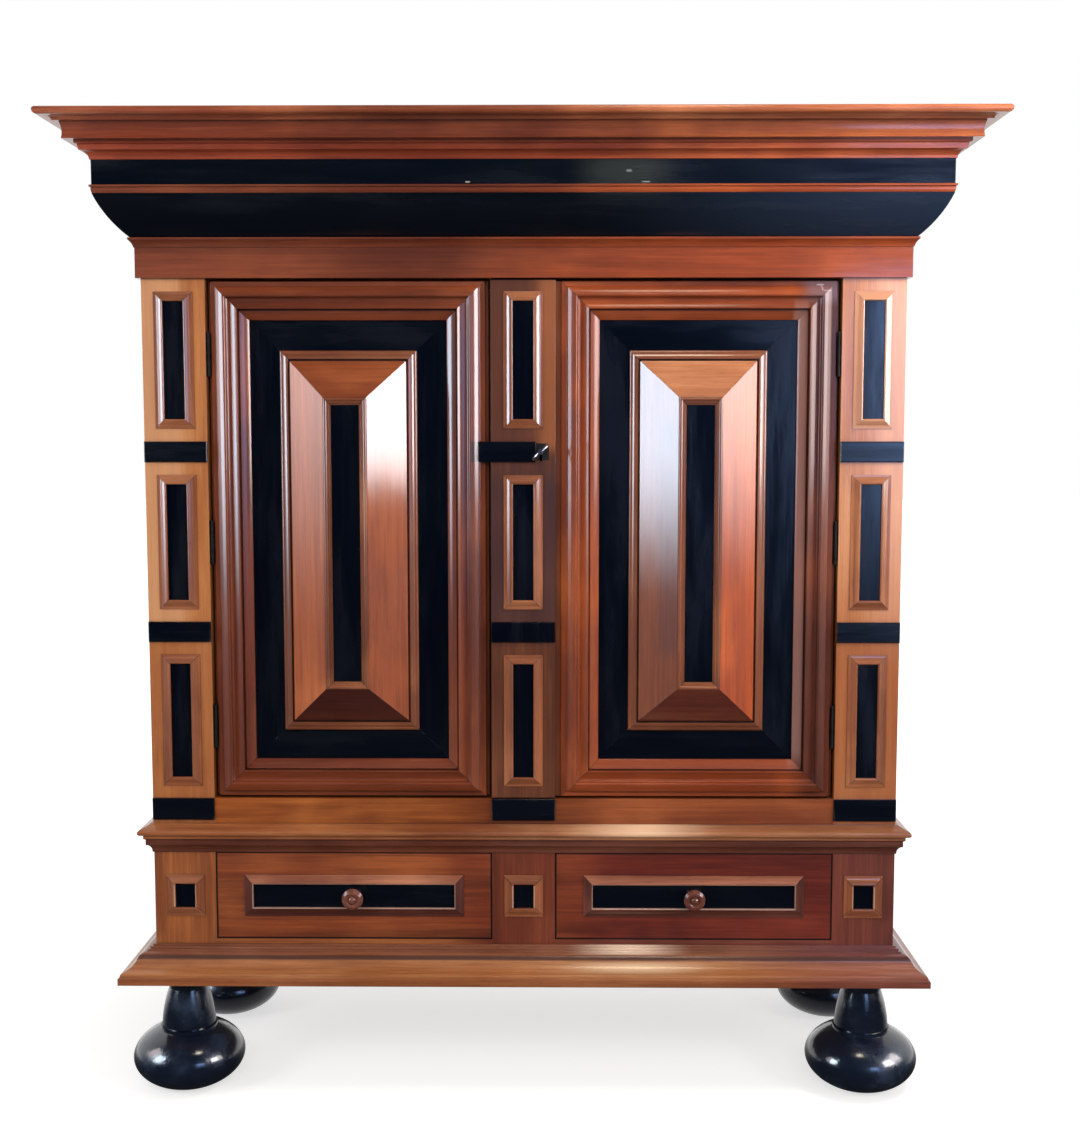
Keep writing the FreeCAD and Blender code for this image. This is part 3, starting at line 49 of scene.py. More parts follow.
# The doors and the drawers are mirror images, so the right one gives the places of both.
DOOR_X = middle("door_right_moulding").x
DOOR_Z = middle("door_right_moulding").z
DOOR_HALF = half("door_right_moulding")
FACETS_HALF = half("door_right_facets")
DRAWER_X = middle("drawer_right_frame").x
DRAWER_Z = middle("drawer_right_frame").z
DRAWER_HALF = half("drawer_right_frame")
INSET_HALF = half("drawer_right_inset")
FRONT_X = middle("drawer_right_front").x
FRONT_Z = middle("drawer_right_front").z
FRONT_HALF = half("drawer_right_front")

# Three framed panels stand over each other on each pilaster, and a square one is under each on the base.
FRAMES_LOW, FRAMES_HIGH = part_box("centre_pilaster_frames")
PANEL_Z = (FRAMES_LOW.z + FRAMES_HIGH.z) / 2
PANEL_HALF_WIDTH = FRAMES_HIGH.x
PANEL_HALF_HEIGHT = 0.1392
PANEL_PITCH = (FRAMES_HIGH.z - FRAMES_LOW.z) / 2 - PANEL_HALF_HEIGHT
SQUARE_HALF = Vector((0.02, 0.0, 0.02))

DRAWER_BACK_THICKNESS = 0.014
BASE_BACK_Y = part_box("drawer_runners")[1].y
DRAWER_BACK_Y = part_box("drawer_right_box")[1].y - DRAWER_BACK_THICKNESS


# ---------------------------------------------------------------- colours
TINT_GAMMA = 2.2


def srgb(r, g, b):
    """Scene-linear colour from an sRGB colour with values up to 255."""
    out = []
    for value in (r, g, b):
        c = value / 255
        out.append(c / 12.92 if c <= 0.04045 else ((c + 0.055) / 1.055) ** 2.4)
    return (*out, 1.0)


def shades(*colors):
    """Scene-linear colours from sRGB ones, in the order in which a material takes them."""
    return tuple(srgb(*color) for color in colors)


def tint(r, g, b):
    """A factor for a colour, in sRGB percent."""
    return (*((value / 100) ** TINT_GAMMA for value in (r, g, b)), 1.0)


# ---------------------------------------------------------------- node building
# The sockets of a mix node share their names, so they are taken by number.
MIX_NUMBER_A = 2
MIX_NUMBER_B = 3
MIX_NUMBER_RESULT = 0
MIX_COLOR_A = 6
MIX_COLOR_B = 7
MIX_COLOR_RESULT = 2


class Graph:
    """Short calls for building the nodes of a material, a lamp or the world."""

    def __init__(self, tree):
        self.tree = tree

    def node(self, kind, **settings):
        node = self.tree.nodes.new(kind)
        for key, value in settings.items():
            setattr(node, key, value)
        return node

    def link(self, value, socket):
        if isinstance(value, bpy.types.NodeSocket):
            self.tree.links.new(value, socket)
        else:
            socket.default_value = value

    def math(self, operation, *values):
        node = self.node("ShaderNodeMath", operation=operation)
        for value, socket in zip(values, node.inputs):
            self.link(value, socket)
        return node.outputs[0]

    def times(self, a, b):
        return self.math("MULTIPLY", a, b)

    def minus(self, a, b):
        return self.math("SUBTRACT", a, b)

    def mix(self, factor, a, b, blend="MIX"):
        node = self.node("ShaderNodeMix", data_type="RGBA", blend_type=blend)
        self.link(factor, node.inputs["Factor"])
        self.link(a, node.inputs[MIX_COLOR_A])
        self.link(b, node.inputs[MIX_COLOR_B])
        return node.outputs[MIX_COLOR_RESULT]

    def choose(self, factor, a, b):
        """A number between a and b, by factor."""
        node = self.node("ShaderNodeMix", data_type="FLOAT")
        self.link(factor, node.inputs["Factor"])
        self.link(a, node.inputs[MIX_NUMBER_A])
        self.link(b, node.inputs[MIX_NUMBER_B])
        return node.outputs[MIX_NUMBER_RESULT]

    def step(self, value, low, high, out_low=0.0, out_high=1.0):
        """Smooth step of value from low to high."""
        node = self.node("ShaderNodeMapRange", interpolation_type="SMOOTHSTEP")
        self.link(value, node.inputs["Value"])
        limits = {"From Min": low, "From Max": high, "To Min": out_low, "To Max": out_high}
        for key, number in limits.items():
            self.link(number, node.inputs[key])
        return node.outputs[0]

    def fade(self, value, low, high):
        """1 up to low and 0 from high on."""
        return self.step(value, low, high, 1.0, 0.0)

    def noise(self, vector, scale, detail, rough, distortion=0.0):
        node = self.node("ShaderNodeTexNoise")
        self.link(vector, node.inputs["Vector"])
        self.link(scale, node.inputs["Scale"])
        self.link(detail, node.inputs["Detail"])
        self.link(rough, node.inputs["Roughness"])
        self.link(distortion, node.inputs["Distortion"])
        return node.outputs["Fac"]

    def grain_noise(self, grain, repeats, detail=3.0, rough=0.6, distortion=0.0):
        """Noise drawn out along the grain, with its repeats per metre across and along it."""
        along, across, deep, _ = grain
        fine, long = repeats
        place = self.vector(self.times(across, fine), self.times(deep, fine), self.times(along, long))
        return self.noise(place, 1.0, detail, rough, distortion)

    def vector(self, x, y, z):
        node = self.node("ShaderNodeCombineXYZ")
        for value, socket in zip((x, y, z), node.inputs):
            self.link(value, socket)
        return node.outputs[0]

    def place(self):
        """x, y and z of the point on the object, in metres, at rest."""
        coordinates = self.node("ShaderNodeTexCoord").outputs["Object"]
        split = self.node("ShaderNodeSeparateXYZ")
        self.link(coordinates, split.inputs[0])
        return split.outputs[0], split.outputs[1], split.outputs[2]

    def away(self, value, centre, pitch=None):
        """Distance of value from centre, or from the nearest of many centres a pitch apart."""
        shifted = self.minus(value, centre)
        if pitch:
            steps = self.math("ROUND", self.math("DIVIDE", shifted, pitch))
            shifted = self.minus(shifted, self.times(steps, pitch))
        return self.math("ABSOLUTE", shifted)

    def away_from_pair(self, x, centre):
        """Distance of x from the nearer one of two centres, one left and one right of 0."""
        return self.away(self.math("ABSOLUTE", x), centre)

    def outside(self, x_away, z_away, half_size):
        """How far a point is outside a rectangle, and less than 0 inside it."""
        past_side = self.minus(x_away, half_size.x)
        past_end = self.minus(z_away, half_size.z)
        return self.math("MAXIMUM", past_side, past_end)

    def patch(self, left, right, bottom, top, soft, soft_up=None):
        """1 on a patch of the front, with soft edges."""
        x, y, z = self.place()
        soft_up = soft_up or soft
        edges = (
            self.step(x, left - soft, left + soft),
            self.step(x, right + soft, right - soft),
            self.step(z, bottom - soft_up, bottom + soft_up),
            self.step(z, top + soft_up, top - soft_up),
        )
        return self.times(self.times(edges[0], edges[1]), self.times(edges[2], edges[3]))

    def layer(self, color, noise, low, high, strength, other):
        """Another colour over this one, more of it as the noise goes from low to high."""
        return self.mix(self.times(self.step(noise, low, high), strength), color, other)

    def marked(self, color, marks):
        """The colour with its marks. Each mark is a patch or a function, its strength and its colour."""
        for place, strength, stain in marks:
            there = place(self) if callable(place) else self.patch(*place)
            color = self.mix(self.times(there, strength), color, stain)
        return color

    def mitred(self, color, grain, strength, stain):
        """The colour with dark lines where two strips meet, if the grain has mitres."""
        line = grain[3]
        if isinstance(line, bpy.types.NodeSocket):
            color = self.mix(self.times(line, strength), color, stain)
        return color

    def bump(self, height, distance, normal=None):
        node = self.node("ShaderNodeBump")
        self.link(height, node.inputs["Height"])
        node.inputs["Distance"].default_value = distance
        if normal is not None:
            self.link(normal, node.inputs["Normal"])
        return node.outputs[0]

    def worn_normal(self, radius):
        """The normal as if the edges were rounded by wear."""
        node = self.node("ShaderNodeBevel", samples=4)
        node.inputs["Radius"].default_value = radius
        return node.outputs[0]

    def crevice(self, distance):
        """0 in the open, up to 1 deep in a corner or a gap."""
        node = self.node("ShaderNodeAmbientOcclusion", samples=5)
        node.inputs["Distance"].default_value = distance
        return self.minus(1.0, node.outputs["AO"])


def new_material(name):
    material = bpy.data.materials.new(name)
    material.use_nodes = True
    return material, Graph(material.node_tree), material.node_tree.nodes["Principled BSDF"]


# ---------------------------------------------------------------- how the grain runs
# A run gives along, across and deep, in metres, and a dark line at the mitres, from 0 to 1.
# A mitre line is full up to the first distance and gone at the second.
MITRE_LINE = (0.00028, 0.00091)


def run_upright(g):
    """Along z."""
    x, y, z = g.place()
    return z, x, y, 0.0


def run_level(g):
    """Along x."""
    x, y, z = g.place()
    return x, z, y, 0.0


def run_back(g):
    """Along y, from front to back."""
    x, y, z = g.place()
    return y, z, x, 0.0


def mitre(g, past_side, past_end):
    """Whether a point is farther past the side than past the end, and the line where both are equal."""
    difference = g.minus(past_side, past_end)
    beside = g.math("GREATER_THAN", difference, 0.0)
    return beside, g.fade(g.math("ABSOLUTE", difference), *MITRE_LINE)


def run_round_case(g):
    """Along x on the front and along y on the sides, mitred at the corners."""
    x, y, z = g.place()
    past_side = g.minus(g.math("ABSOLUTE", x), SIDE_X)
    past_front = g.minus(FRONT_Y, y)
    beside, line = mitre(g, past_side, past_front)
    return g.choose(beside, x, y), z, g.choose(beside, y, x), line


def run_framed(g, x_away, z_away, half_size):
    """Along z on the strips beside the middle and along x on those over and under it."""
    x, y, z = g.place()
    beside, line = mitre(g, g.minus(x_away, half_size.x), g.minus(z_away, half_size.z))
    return g.choose(beside, x, z), g.choose(beside, z, x), y, line


def run_door(g):
    x, y, z = g.place()
    return run_framed(g, g.away_from_pair(x, DOOR_X), g.away(z, DOOR_Z), DOOR_HALF)


def run_door_ebony(g):
    """Mitred round the field of a door, and upright on the strip in the middle of its pyramid."""
    x, y, z = g.place()
    along, across, deep, line = run_door(g)
    reach = g.outside(g.away_from_pair(x, DOOR_X), g.away(z, DOOR_Z), FACETS_HALF)
    in_middle = g.math("LESS_THAN", reach, 0.0)
    along = g.choose(in_middle, along, z)
    across = g.choose(in_middle, across, x)
    return along, across, deep, g.choose(in_middle, line, 0.0)


def run_drawer(g):
    x, y, z = g.place()
    return run_framed(g, g.away_from_pair(x, DRAWER_X), g.away(z, DRAWER_Z), DRAWER_HALF)


def run_small_frames(g):
    """The frames on the pilasters, and the square ones on the base."""
    x, y, z = g.place()
    in_base = g.math("LESS_THAN", z, BASE_TOP)
    z_pilaster = g.minus(g.away(z, PANEL_Z, PANEL_PITCH), PANEL_HALF_HEIGHT)
    z_base = g.minus(g.away(z, DRAWER_Z), PANEL_HALF_WIDTH)
    past_side = g.minus(g.away(x, 0.0, POST_X), PANEL_HALF_WIDTH)
    beside, line = mitre(g, past_side, g.choose(in_base, z_pilaster, z_base))
    return g.choose(beside, x, z), g.choose(beside, z, x), y, line


def run_base_front(g):
    """Upright on the three stiles, level on the rails."""
    x, y, z = g.place()
    width = g.math("ABSOLUTE", x)
    outer_stile = g.math("GREATER_THAN", width, POST_INNER_X)
    centre_stile = g.math("LESS_THAN", width, CENTRE_HALF_WIDTH)
    stile = g.math("MAXIMUM", outer_stile, centre_stile)
    return g.choose(stile, x, z), g.choose(stile, z, x), y, 0.0


def run_box(back_y):
    """The run of a box: along y on its sides and bottom, and along x on its back board."""

    def build(g):
        x, y, z = g.place()
        at_back = g.math("GREATER_THAN", y, back_y)
        return g.choose(at_back, y, x), z, g.choose(at_back, x, y), 0.0

    return build


# ---------------------------------------------------------------- materials
# How often each noise repeats per metre, across the grain and along it.
GRAIN = (115.0, 3.5)
FIBRE = (260.0, 7.0)
PORES = (900.0, 45.0)
WORN_PATCHES = (5.0, 3.0)
PLANE_WAVES = (16.0, 3.0)
EBONY_STREAKS = (120.0, 5.0)
EBONY_CLOUDS = (18.0, 3.0)
OAK_FIGURE = (26.0, 1.6)
OAK_FIBRE = (330.0, 9.0)
OAK_DIRT = (3.5, 2.5)
LATHE_RINGS = (4.0, 220.0)
# A wood's figure repeats along the grain this share as often as across it.
FIGURE_STRETCH = 0.07
# These repeat as often in every direction.
PAINT_CLOUDS = 14.0
PAINT_KNOCKS = 90.0
IRON_OXIDE = 70.0
IRON_PITS = 420.0

# Metres: how far wear rounds the edges, how deep the relief is, and how far the painted shade reaches out of
# a corner.
EDGE_RADIUS = 0.0009
ROUND_EDGE_RADIUS = 0.0024
FINE_EDGE_RADIUS = 0.0004
PLANE_WAVE_DEPTH = 0.0016
FIBRE_DEPTH = 0.00006
EBONY_WAVE_DEPTH = 0.0008
EBONY_STREAK_DEPTH = 0.00008
PAINT_WAVE_DEPTH = 0.003
PAINT_RING_DEPTH = 0.00015
OAK_DEPTH = 0.0003
IRON_DEPTH = 0.0004
CORNER_SHADE_REACH = 0.007

PORE_COLOR = srgb(28, 12, 8)
MITRE_COLOR = srgb(20, 8, 6)
CORNER_SHADE_COLOR = srgb(18, 9, 7)
BLACK = srgb(0, 0, 0)
WOOD_ROUGH = 0.5
WOOD_SPECULAR = 0.2
EBONY_ROUGH = 0.2
EBONY_SPECULAR = 0.5


def wood(name, run, colors, gloss=0.8, gloss_rough=0.12, figure=14.0, contrast=0.6, toned=None,
         planing=0.35, edge=EDGE_RADIUS, marks=()):
    """Polished wood: long figure, fine fibre, pores, worn patches, painted shade in the corners, dark mitre
    lines.
    """
    material, g, shader = new_material(name)
    grain = run(g)
    dark, base, light = colors
    broad = g.grain_noise(grain, (figure, figure * FIGURE_STRETCH), detail=4.0, distortion=0.6)
    medium = g.grain_noise(grain, GRAIN)
    fibre = g.grain_noise(grain, FIBRE, rough=0.65)
    pores = g.grain_noise(grain, PORES, detail=1.0, rough=0.55)
    patches = g.grain_noise(grain, WORN_PATCHES)
    waves = g.grain_noise(grain, PLANE_WAVES, detail=2.0, rough=0.55)
    color = g.mix(g.step(broad, 0.3, 0.68), dark, base)
    color = g.layer(color, patches, 0.45, 0.75, 0.7, light)
    color = g.layer(color, medium, 0.5, 0.72, 0.75 * contrast, dark)
    color = g.layer(color, medium, 0.48, 0.3, 0.4 * contrast, light)
    color = g.layer(color, fibre, 0.42, 0.72, 0.5 * contrast, dark)
    color = g.layer(color, fibre, 0.5, 0.25, 0.35 * contrast, light)
    color = g.layer(color, pores, 0.6, 0.75, 0.5 * contrast, PORE_COLOR)
    if toned:
        color = g.mix(1.0, color, toned(g), "MULTIPLY")
    color = g.mitred(color, grain, 0.8, MITRE_COLOR)
    color = g.marked(color, marks)
    # Painted shade: the colour darkens in corners and gaps, the more closed in they are.
    painted_corner_shade = g.step(g.crevice(CORNER_SHADE_REACH), 0.3, 0.85, 0.0, 0.8)
    g.link(g.mix(painted_corner_shade, color, CORNER_SHADE_COLOR), shader.inputs["Base Color"])
    worn_rough = g.step(patches, 0.35, 0.7, WOOD_ROUGH - 0.06, WOOD_ROUGH + 0.1)
    g.link(g.math("ADD", worn_rough, g.times(fibre, 0.08)), shader.inputs["Roughness"])
    shader.inputs["Specular IOR Level"].default_value = WOOD_SPECULAR
    shader.inputs["Coat Weight"].default_value = gloss
    shader.inputs["Coat Roughness"].default_value = gloss_rough
    smooth = g.bump(waves, PLANE_WAVE_DEPTH * planing, g.worn_normal(edge))
    g.link(g.bump(fibre, FIBRE_DEPTH, smooth), shader.inputs["Normal"])
    g.link(smooth, shader.inputs["Coat Normal"])
    return material


def ebony(name, run, colors, marks=()):
    """Near-black wood, with faint streaks and an uneven old polish."""
    material, g, shader = new_material(name)
    grain = run(g)
    base, light = colors
    streaks = g.grain_noise(grain, EBONY_STREAKS)
    clouds = g.grain_noise(grain, EBONY_CLOUDS)
    color = g.layer(base, streaks, 0.5, 0.75, 0.6, light)
    color = g.layer(color, clouds, 0.5, 0.8, 0.5, light)
    color = g.mitred(color, grain, 0.7, BLACK)
    g.link(g.marked(color, marks), shader.inputs["Base Color"])
    cloudy_rough = g.step(clouds, 0.35, 0.7, EBONY_ROUGH - 0.08, EBONY_ROUGH + 0.1)
    g.link(g.math("ADD", cloudy_rough, g.times(streaks, 0.06)), shader.inputs["Roughness"])
    shader.inputs["Specular IOR Level"].default_value = EBONY_SPECULAR
    normal = g.bump(clouds, EBONY_WAVE_DEPTH, g.worn_normal(EDGE_RADIUS))
    g.link(g.bump(streaks, EBONY_STREAK_DEPTH, normal), shader.inputs["Normal"])
    return material


def black_paint(name):
    """Glossy black on turned wood, with knocks, dust and thin spots."""
    material, g, shader = new_material(name)
    place = g.vector(*g.place())
    clouds = g.noise(place, PAINT_CLOUDS, detail=4.0, rough=0.6)
    knocks = g.noise(place, PAINT_KNOCKS, detail=3.0, rough=0.7)
    rings = g.grain_noise(run_upright(g), LATHE_RINGS, detail=2.0, rough=0.55)
    color = g.mix(g.step(clouds, 0.45, 0.8), srgb(13, 22, 38), srgb(42, 56, 78))
    g.link(g.layer(color, knocks, 0.66, 0.78, 0.6, srgb(58, 48, 42)), shader.inputs["Base Color"])
    g.link(g.step(clouds, 0.3, 0.75, 0.14, 0.34), shader.inputs["Roughness"])
    shader.inputs["Coat Weight"].default_value = 0.7
    shader.inputs["Coat Roughness"].default_value = 0.12
    fine = g.math("ADD", rings, g.times(knocks, 0.5))
    g.link(g.bump(fine, PAINT_RING_DEPTH, g.bump(clouds, PAINT_WAVE_DEPTH)), shader.inputs["Normal"])
    return material


def oak(name, run, colors):
    """Unpolished old oak, with open pores and dirt."""
    material, g, shader = new_material(name)
    grain = run(g)
    dark, base, light = colors
    figure = g.grain_noise(grain, OAK_FIGURE, detail=4.0, distortion=0.8)
    fibre = g.grain_noise(grain, OAK_FIBRE, rough=0.65)
    dirt = g.grain_noise(grain, OAK_DIRT, detail=4.0)
    color = g.mix(g.step(figure, 0.3, 0.7), dark, base)
    color = g.layer(color, fibre, 0.5, 0.75, 0.5, dark)
    color = g.layer(color, dirt, 0.45, 0.7, 0.6, light)
    g.link(color, shader.inputs["Base Color"])
    g.link(g.step(fibre, 0.3, 0.7, 0.6, 0.85), shader.inputs["Roughness"])
    g.link(g.bump(g.math("ADD", figure, fibre), OAK_DEPTH), shader.inputs["Normal"])
    return material


def iron(name, colors, rough, metal):
    """Forged iron, with oxide and pits."""
    material, g, shader = new_material(name)
    place = g.vector(*g.place())
    base, stain = colors
    oxide = g.noise(place, IRON_OXIDE, detail=4.0, rough=0.65)
    pits = g.noise(place, IRON_PITS, detail=3.0, rough=0.6)
    g.link(g.mix(g.step(oxide, 0.42, 0.66), base, stain), shader.inputs["Base Color"])
    g.link(g.step(oxide, 0.35, 0.7, rough, rough + 0.25), shader.inputs["Roughness"])
    shader.inputs["Metallic"].default_value = metal
    g.link(g.bump(g.math("ADD", oxide, g.times(pits, 0.4)), IRON_DEPTH), shader.inputs["Normal"])
    return material


# ---------------------------------------------------------------- tints
# A tint multiplies a wood's colour. Places are metres: x on the front, z for heights.
PLAIN = (1.0, 1.0, 1.0, 1.0)
TO_MIDDLE = (-0.2, -0.06)
TO_RIGHT = (0.06, 0.2)
CROWN_BAND_Z = 1.974
CROWN_NOSE_Z = 2.008
WAIST_NECK_Z = 0.557
PLINTH_STEP_Z = 0.273
PLINTH_FILLET_Z = 0.3025
PLINTH_TOP_Z = 0.3105
HEIGHT_BLEND = 0.002


def along_front(*bands):
    """Tints from the left to the right: each pair of numbers is where one passes into the next."""

    def build(g):
        x, y, z = g.place()
        color = bands[0]
        for (start, end), beyond in zip(bands[1::2], bands[2::2]):
            color = g.mix(g.step(x, start, end), color, beyond)
        return color

    return build


def by_height(*bands):
    """Tints from the bottom up: each height is where one passes into the next."""

    def build(g):
        x, y, z = g.place()
        color = bands[0]
        for height, above in zip(bands[1::2], bands[2::2]):
            color = g.mix(g.step(z, height - HEIGHT_BLEND, height + HEIGHT_BLEND), color, above)
        return color

    return build


def both(first, second):
    """Two tints, one on the other."""

    def build(g):
        return g.mix(1.0, first(g), second(g), "MULTIPLY")

    return build


# Painted shade on the lower facets, painted light on the side facets that face the side lights, and a painted
# bluish reflection on the right door's upper facet, over each board's own colour.
LEFT_FACET_TONE_AND_LIGHT = {
    "left": tint(119, 116, 106),
    "right": tint(97, 90, 84),
    "top": tint(94, 89, 84),
    "bottom": tint(51, 41, 54),
}
RIGHT_FACET_TONE_AND_LIGHT = {
    "left": tint(92, 94, 100),
    "right": tint(123, 105, 85),
    "top": tint(126, 153, 186),
    "bottom": tint(68, 60, 76),
}


def door_facet_tone_and_light(g):
    """Each facet of the two pyramids gets a tint of its own: its board's colour, with painted light and shade
    by the way that it faces.
    """
    x, y, z = g.place()
    right_door = g.math("GREATER_THAN", x, 0.0)
    across = g.minus(x, g.choose(right_door, -DOOR_X, DOOR_X))
    up = g.minus(z, DOOR_Z)
    past_side = g.minus(g.math("ABSOLUTE", across), DOOR_HALF.x)
    past_end = g.minus(g.math("ABSOLUTE", up), DOOR_HALF.z)
    beside = g.math("GREATER_THAN", past_side, past_end)
    to_right = g.math("GREATER_THAN", across, 0.0)
    to_top = g.math("GREATER_THAN", up, 0.0)
    of_door = []
    for tints in (LEFT_FACET_TONE_AND_LIGHT, RIGHT_FACET_TONE_AND_LIGHT):
        level = g.mix(to_top, tints["bottom"], tints["top"])
        upright = g.mix(to_right, tints["left"], tints["right"])
        of_door.append(g.mix(beside, level, upright))
    return g.mix(right_door, *of_door)


def drawer_frame_light_and_shade(g):
    """Painted light on the upper strip, and painted shade on the lower and side strips."""
    x, y, z = g.place()
    up = g.minus(z, DRAWER_Z)
    past_side = g.minus(g.away_from_pair(x, DRAWER_X), DRAWER_HALF.x)
    past_end = g.minus(g.math("ABSOLUTE", up), DRAWER_HALF.z)
    level = g.mix(g.math("GREATER_THAN", up, 0.0), tint(64, 56, 62), tint(118, 122, 122))
    return g.mix(g.math("GREATER_THAN", past_side, past_end), level, tint(74, 68, 74))


# Painted light: the crown is lightened on its nose and its lower members, against the shade under them, and
# grows lighter and bluer towards the right.
CROWN_PAINTED_LIGHT = both(
    by_height(tint(118, 96, 86), CROWN_BAND_Z, tint(106, 92, 72), CROWN_NOSE_Z, tint(131, 132, 138)),
    along_front(tint(106, 106, 110), (-0.6, -0.3), tint(93, 93, 93), (-0.1, 0.5), tint(115, 126, 134)),
)
# Darker in the middle, and painted light towards the right.
ARCHITRAVE_PAINTED_LIGHT = along_front(PLAIN, (-0.5, -0.25), tint(83, 75, 61), (-0.2, 0.3), tint(113, 101, 68))
# Painted shade under the waist moulding's neck, painted light above it, and a painted bluish haze towards the
# right.
WAIST_LIGHT_AND_SHADE = both(
    by_height(tint(71, 59, 61), WAIST_NECK_Z, tint(114, 114, 108)),
    along_front(PLAIN, (-0.2, 0.05), tint(102, 112, 132)),
)
# Darker towards the bottom, painted shade in the fillet under the top step, and cooler towards the right.
PLINTH_TONE_AND_SHADE = both(
    by_height(tint(86, 78, 74), PLINTH_STEP_Z, tint(97, 96, 94), PLINTH_FILLET_Z, tint(52, 48, 53),
              PLINTH_TOP_Z, tint(82, 78, 90)),
    along_front(tint(107, 109, 112), (-0.55, -0.3), PLAIN, (0.4, 0.7), tint(94, 90, 122)),
)
RAIL_TINT = along_front(tint(117, 114, 84), TO_MIDDLE, tint(93, 85, 66), TO_RIGHT, tint(104, 97, 92))
STILE_TINT = along_front(tint(146, 154, 126), TO_MIDDLE, tint(104, 90, 84), TO_RIGHT, tint(104, 96, 112))
DRAWER_TINT = along_front(tint(120, 122, 108), TO_MIDDLE, tint(106, 96, 86), TO_RIGHT, tint(93, 70, 74))
LEFT_MOULDING_TINT = along_front(tint(103, 94, 84))
RIGHT_MOULDING_TINT = along_front(tint(126, 114, 94), (0.12, 0.2), tint(116, 101, 80), (0.54, 0.6),
                                  tint(83, 73, 65))


# ---------------------------------------------------------------- marks
# A thin line is full up to the first distance from the edge that it follows and gone at the second.
GAP_LINE = (0.0012, 0.0028)
DRAWER_EDGE_LINE = (0.0012, 0.0026)
SQUARE_EDGE_LINE = (0.003, 0.0045)
# The line of the gap is on the face alone: full up to the first depth behind it and gone at the second.
FACE_DEPTH = (0.001, 0.004)


def drawer_gap(g):
    """1 on the faces at the gap round each drawer front, where painted shade darkens them."""
    x, y, z = g.place()
    distance = g.outside(g.away_from_pair(x, FRONT_X), g.away(z, FRONT_Z), FRONT_HALF)
    on_face = g.fade(y, FRONT_Y + FACE_DEPTH[0], FRONT_Y + FACE_DEPTH[1])
    return g.times(on_face, g.fade(g.math("ABSOLUTE", distance), *GAP_LINE))


def drawer_frame_edge(g):
    """1 along the inner edge of each drawer's frame, where a pale line is a painted highlight."""
    x, y, z = g.place()
    distance = g.outside(g.away_from_pair(x, DRAWER_X), g.away(z, DRAWER_Z), INSET_HALF)
    return g.fade(distance, *DRAWER_EDGE_LINE)


def square_frame_edge(g):
    """1 along the inner edge of the square frames on the base."""
    x, y, z = g.place()
    in_base = g.math("LESS_THAN", z, BASE_TOP)
    distance = g.outside(g.away(x, 0.0, POST_X), g.away(z, DRAWER_Z), SQUARE_HALF)
    return g.times(in_base, g.fade(distance, *SQUARE_EDGE_LINE))


# Each mark is its place, its strength and its colour. A place is a function above, or a patch of the
# front in metres: left, right, bottom, top, how soft its edges are, and how soft its top and bottom
# are where that differs.
# Painted shade: a dark line on the faces at the edge of the gap round each drawer.
DRAWER_GAP_SHADE = (drawer_gap, 0.9, srgb(22, 10, 9))
# A painted highlight along the inner edge of each drawer's frame.
DRAWER_FRAME_HIGHLIGHT = (drawer_frame_edge, 0.5, srgb(206, 168, 150))
SQUARE_FRAME_EDGE = (square_frame_edge, 0.55, srgb(214, 168, 140))
# Painted light on the small frames of the right pilaster, from the strong light on that side.
RIGHT_FRAMES_PAINTED_LIGHT = ((0.6, 0.9, 1.33, 1.9, 0.04), 0.45, srgb(226, 168, 136))
# A darker patch on the right door's left facet.
FACET_DARK_PATCH = ((0.28, 0.33, 0.95, 1.43, 0.018, 0.025), 0.5, srgb(84, 50, 52))
# Painted shadow of the keyhole slider's left end on the left door's moulding.
SLIDER_PAINTED_SHADOW = ((-0.107, -0.0905, 1.3447, 1.3867, 0.0012), 0.85, srgb(44, 20, 12))
WORN_CORNER = ((0.575, 0.66, 1.672, 1.73, 0.016), 0.5, srgb(118, 96, 104))
# A painted lavender reflection along a strip of the right door's moulding.
INNER_EDGE_PAINTED_REFLECTION = ((0.552, 0.58, 0.72, 1.66, 0.005, 0.03), 0.5, srgb(158, 122, 114))
CHIPS = (
    ((0.598, 0.612, 1.7035, 1.7065, 0.0012), 0.6, srgb(186, 168, 170)),
    ((0.606, 0.609, 1.692, 1.705, 0.0012), 0.5, srgb(176, 158, 160)),
    ((0.61, 0.626, 1.6905, 1.693, 0.0012), 0.5, srgb(176, 158, 160)),
)
# A painted bluish sheen over the right part of the ebony frieze and fascia.
FRIEZE_PAINTED_SHEEN = ((0.42, 1.5, 1.7, 1.885, 0.34, 0.01), 0.8, srgb(32, 44, 64))
FASCIA_PAINTED_SHEEN = ((0.42, 1.5, 1.885, 2.0, 0.34, 0.01), 0.25, srgb(22, 32, 52))
SCUFFED_FASCIA = (
    ((0.13, 0.28, 1.893, 1.95, 0.05), 0.5, srgb(60, 66, 60)),
    ((0.206, 0.216, 1.917, 1.921, 0.0016), 0.6, srgb(140, 148, 148)),
    ((0.236, 0.252, 1.8965, 1.8985, 0.0012), 0.6, srgb(168, 172, 168)),
    ((-0.112, -0.103, 1.8965, 1.8985, 0.0012), 0.7, srgb(196, 190, 170)),
)
# The outer pilasters are pale over about 1 m and brown under it, and the right one is browner there.
POST_MARKS = (
    ((-0.9, -0.7, 0.993, 1.9, 0.02), 0.45, srgb(216, 164, 122)),
    ((0.72, 0.9, 0.98, 1.9, 0.03, 0.08), 0.4, srgb(236, 176, 142)),
    ((-0.9, 0.9, 0.4, 0.99, 0.02), 0.35, srgb(136, 72, 36)),
    ((0.6, 0.9, 0.4, 1.1, 0.15), 0.4, srgb(142, 72, 38)),
)
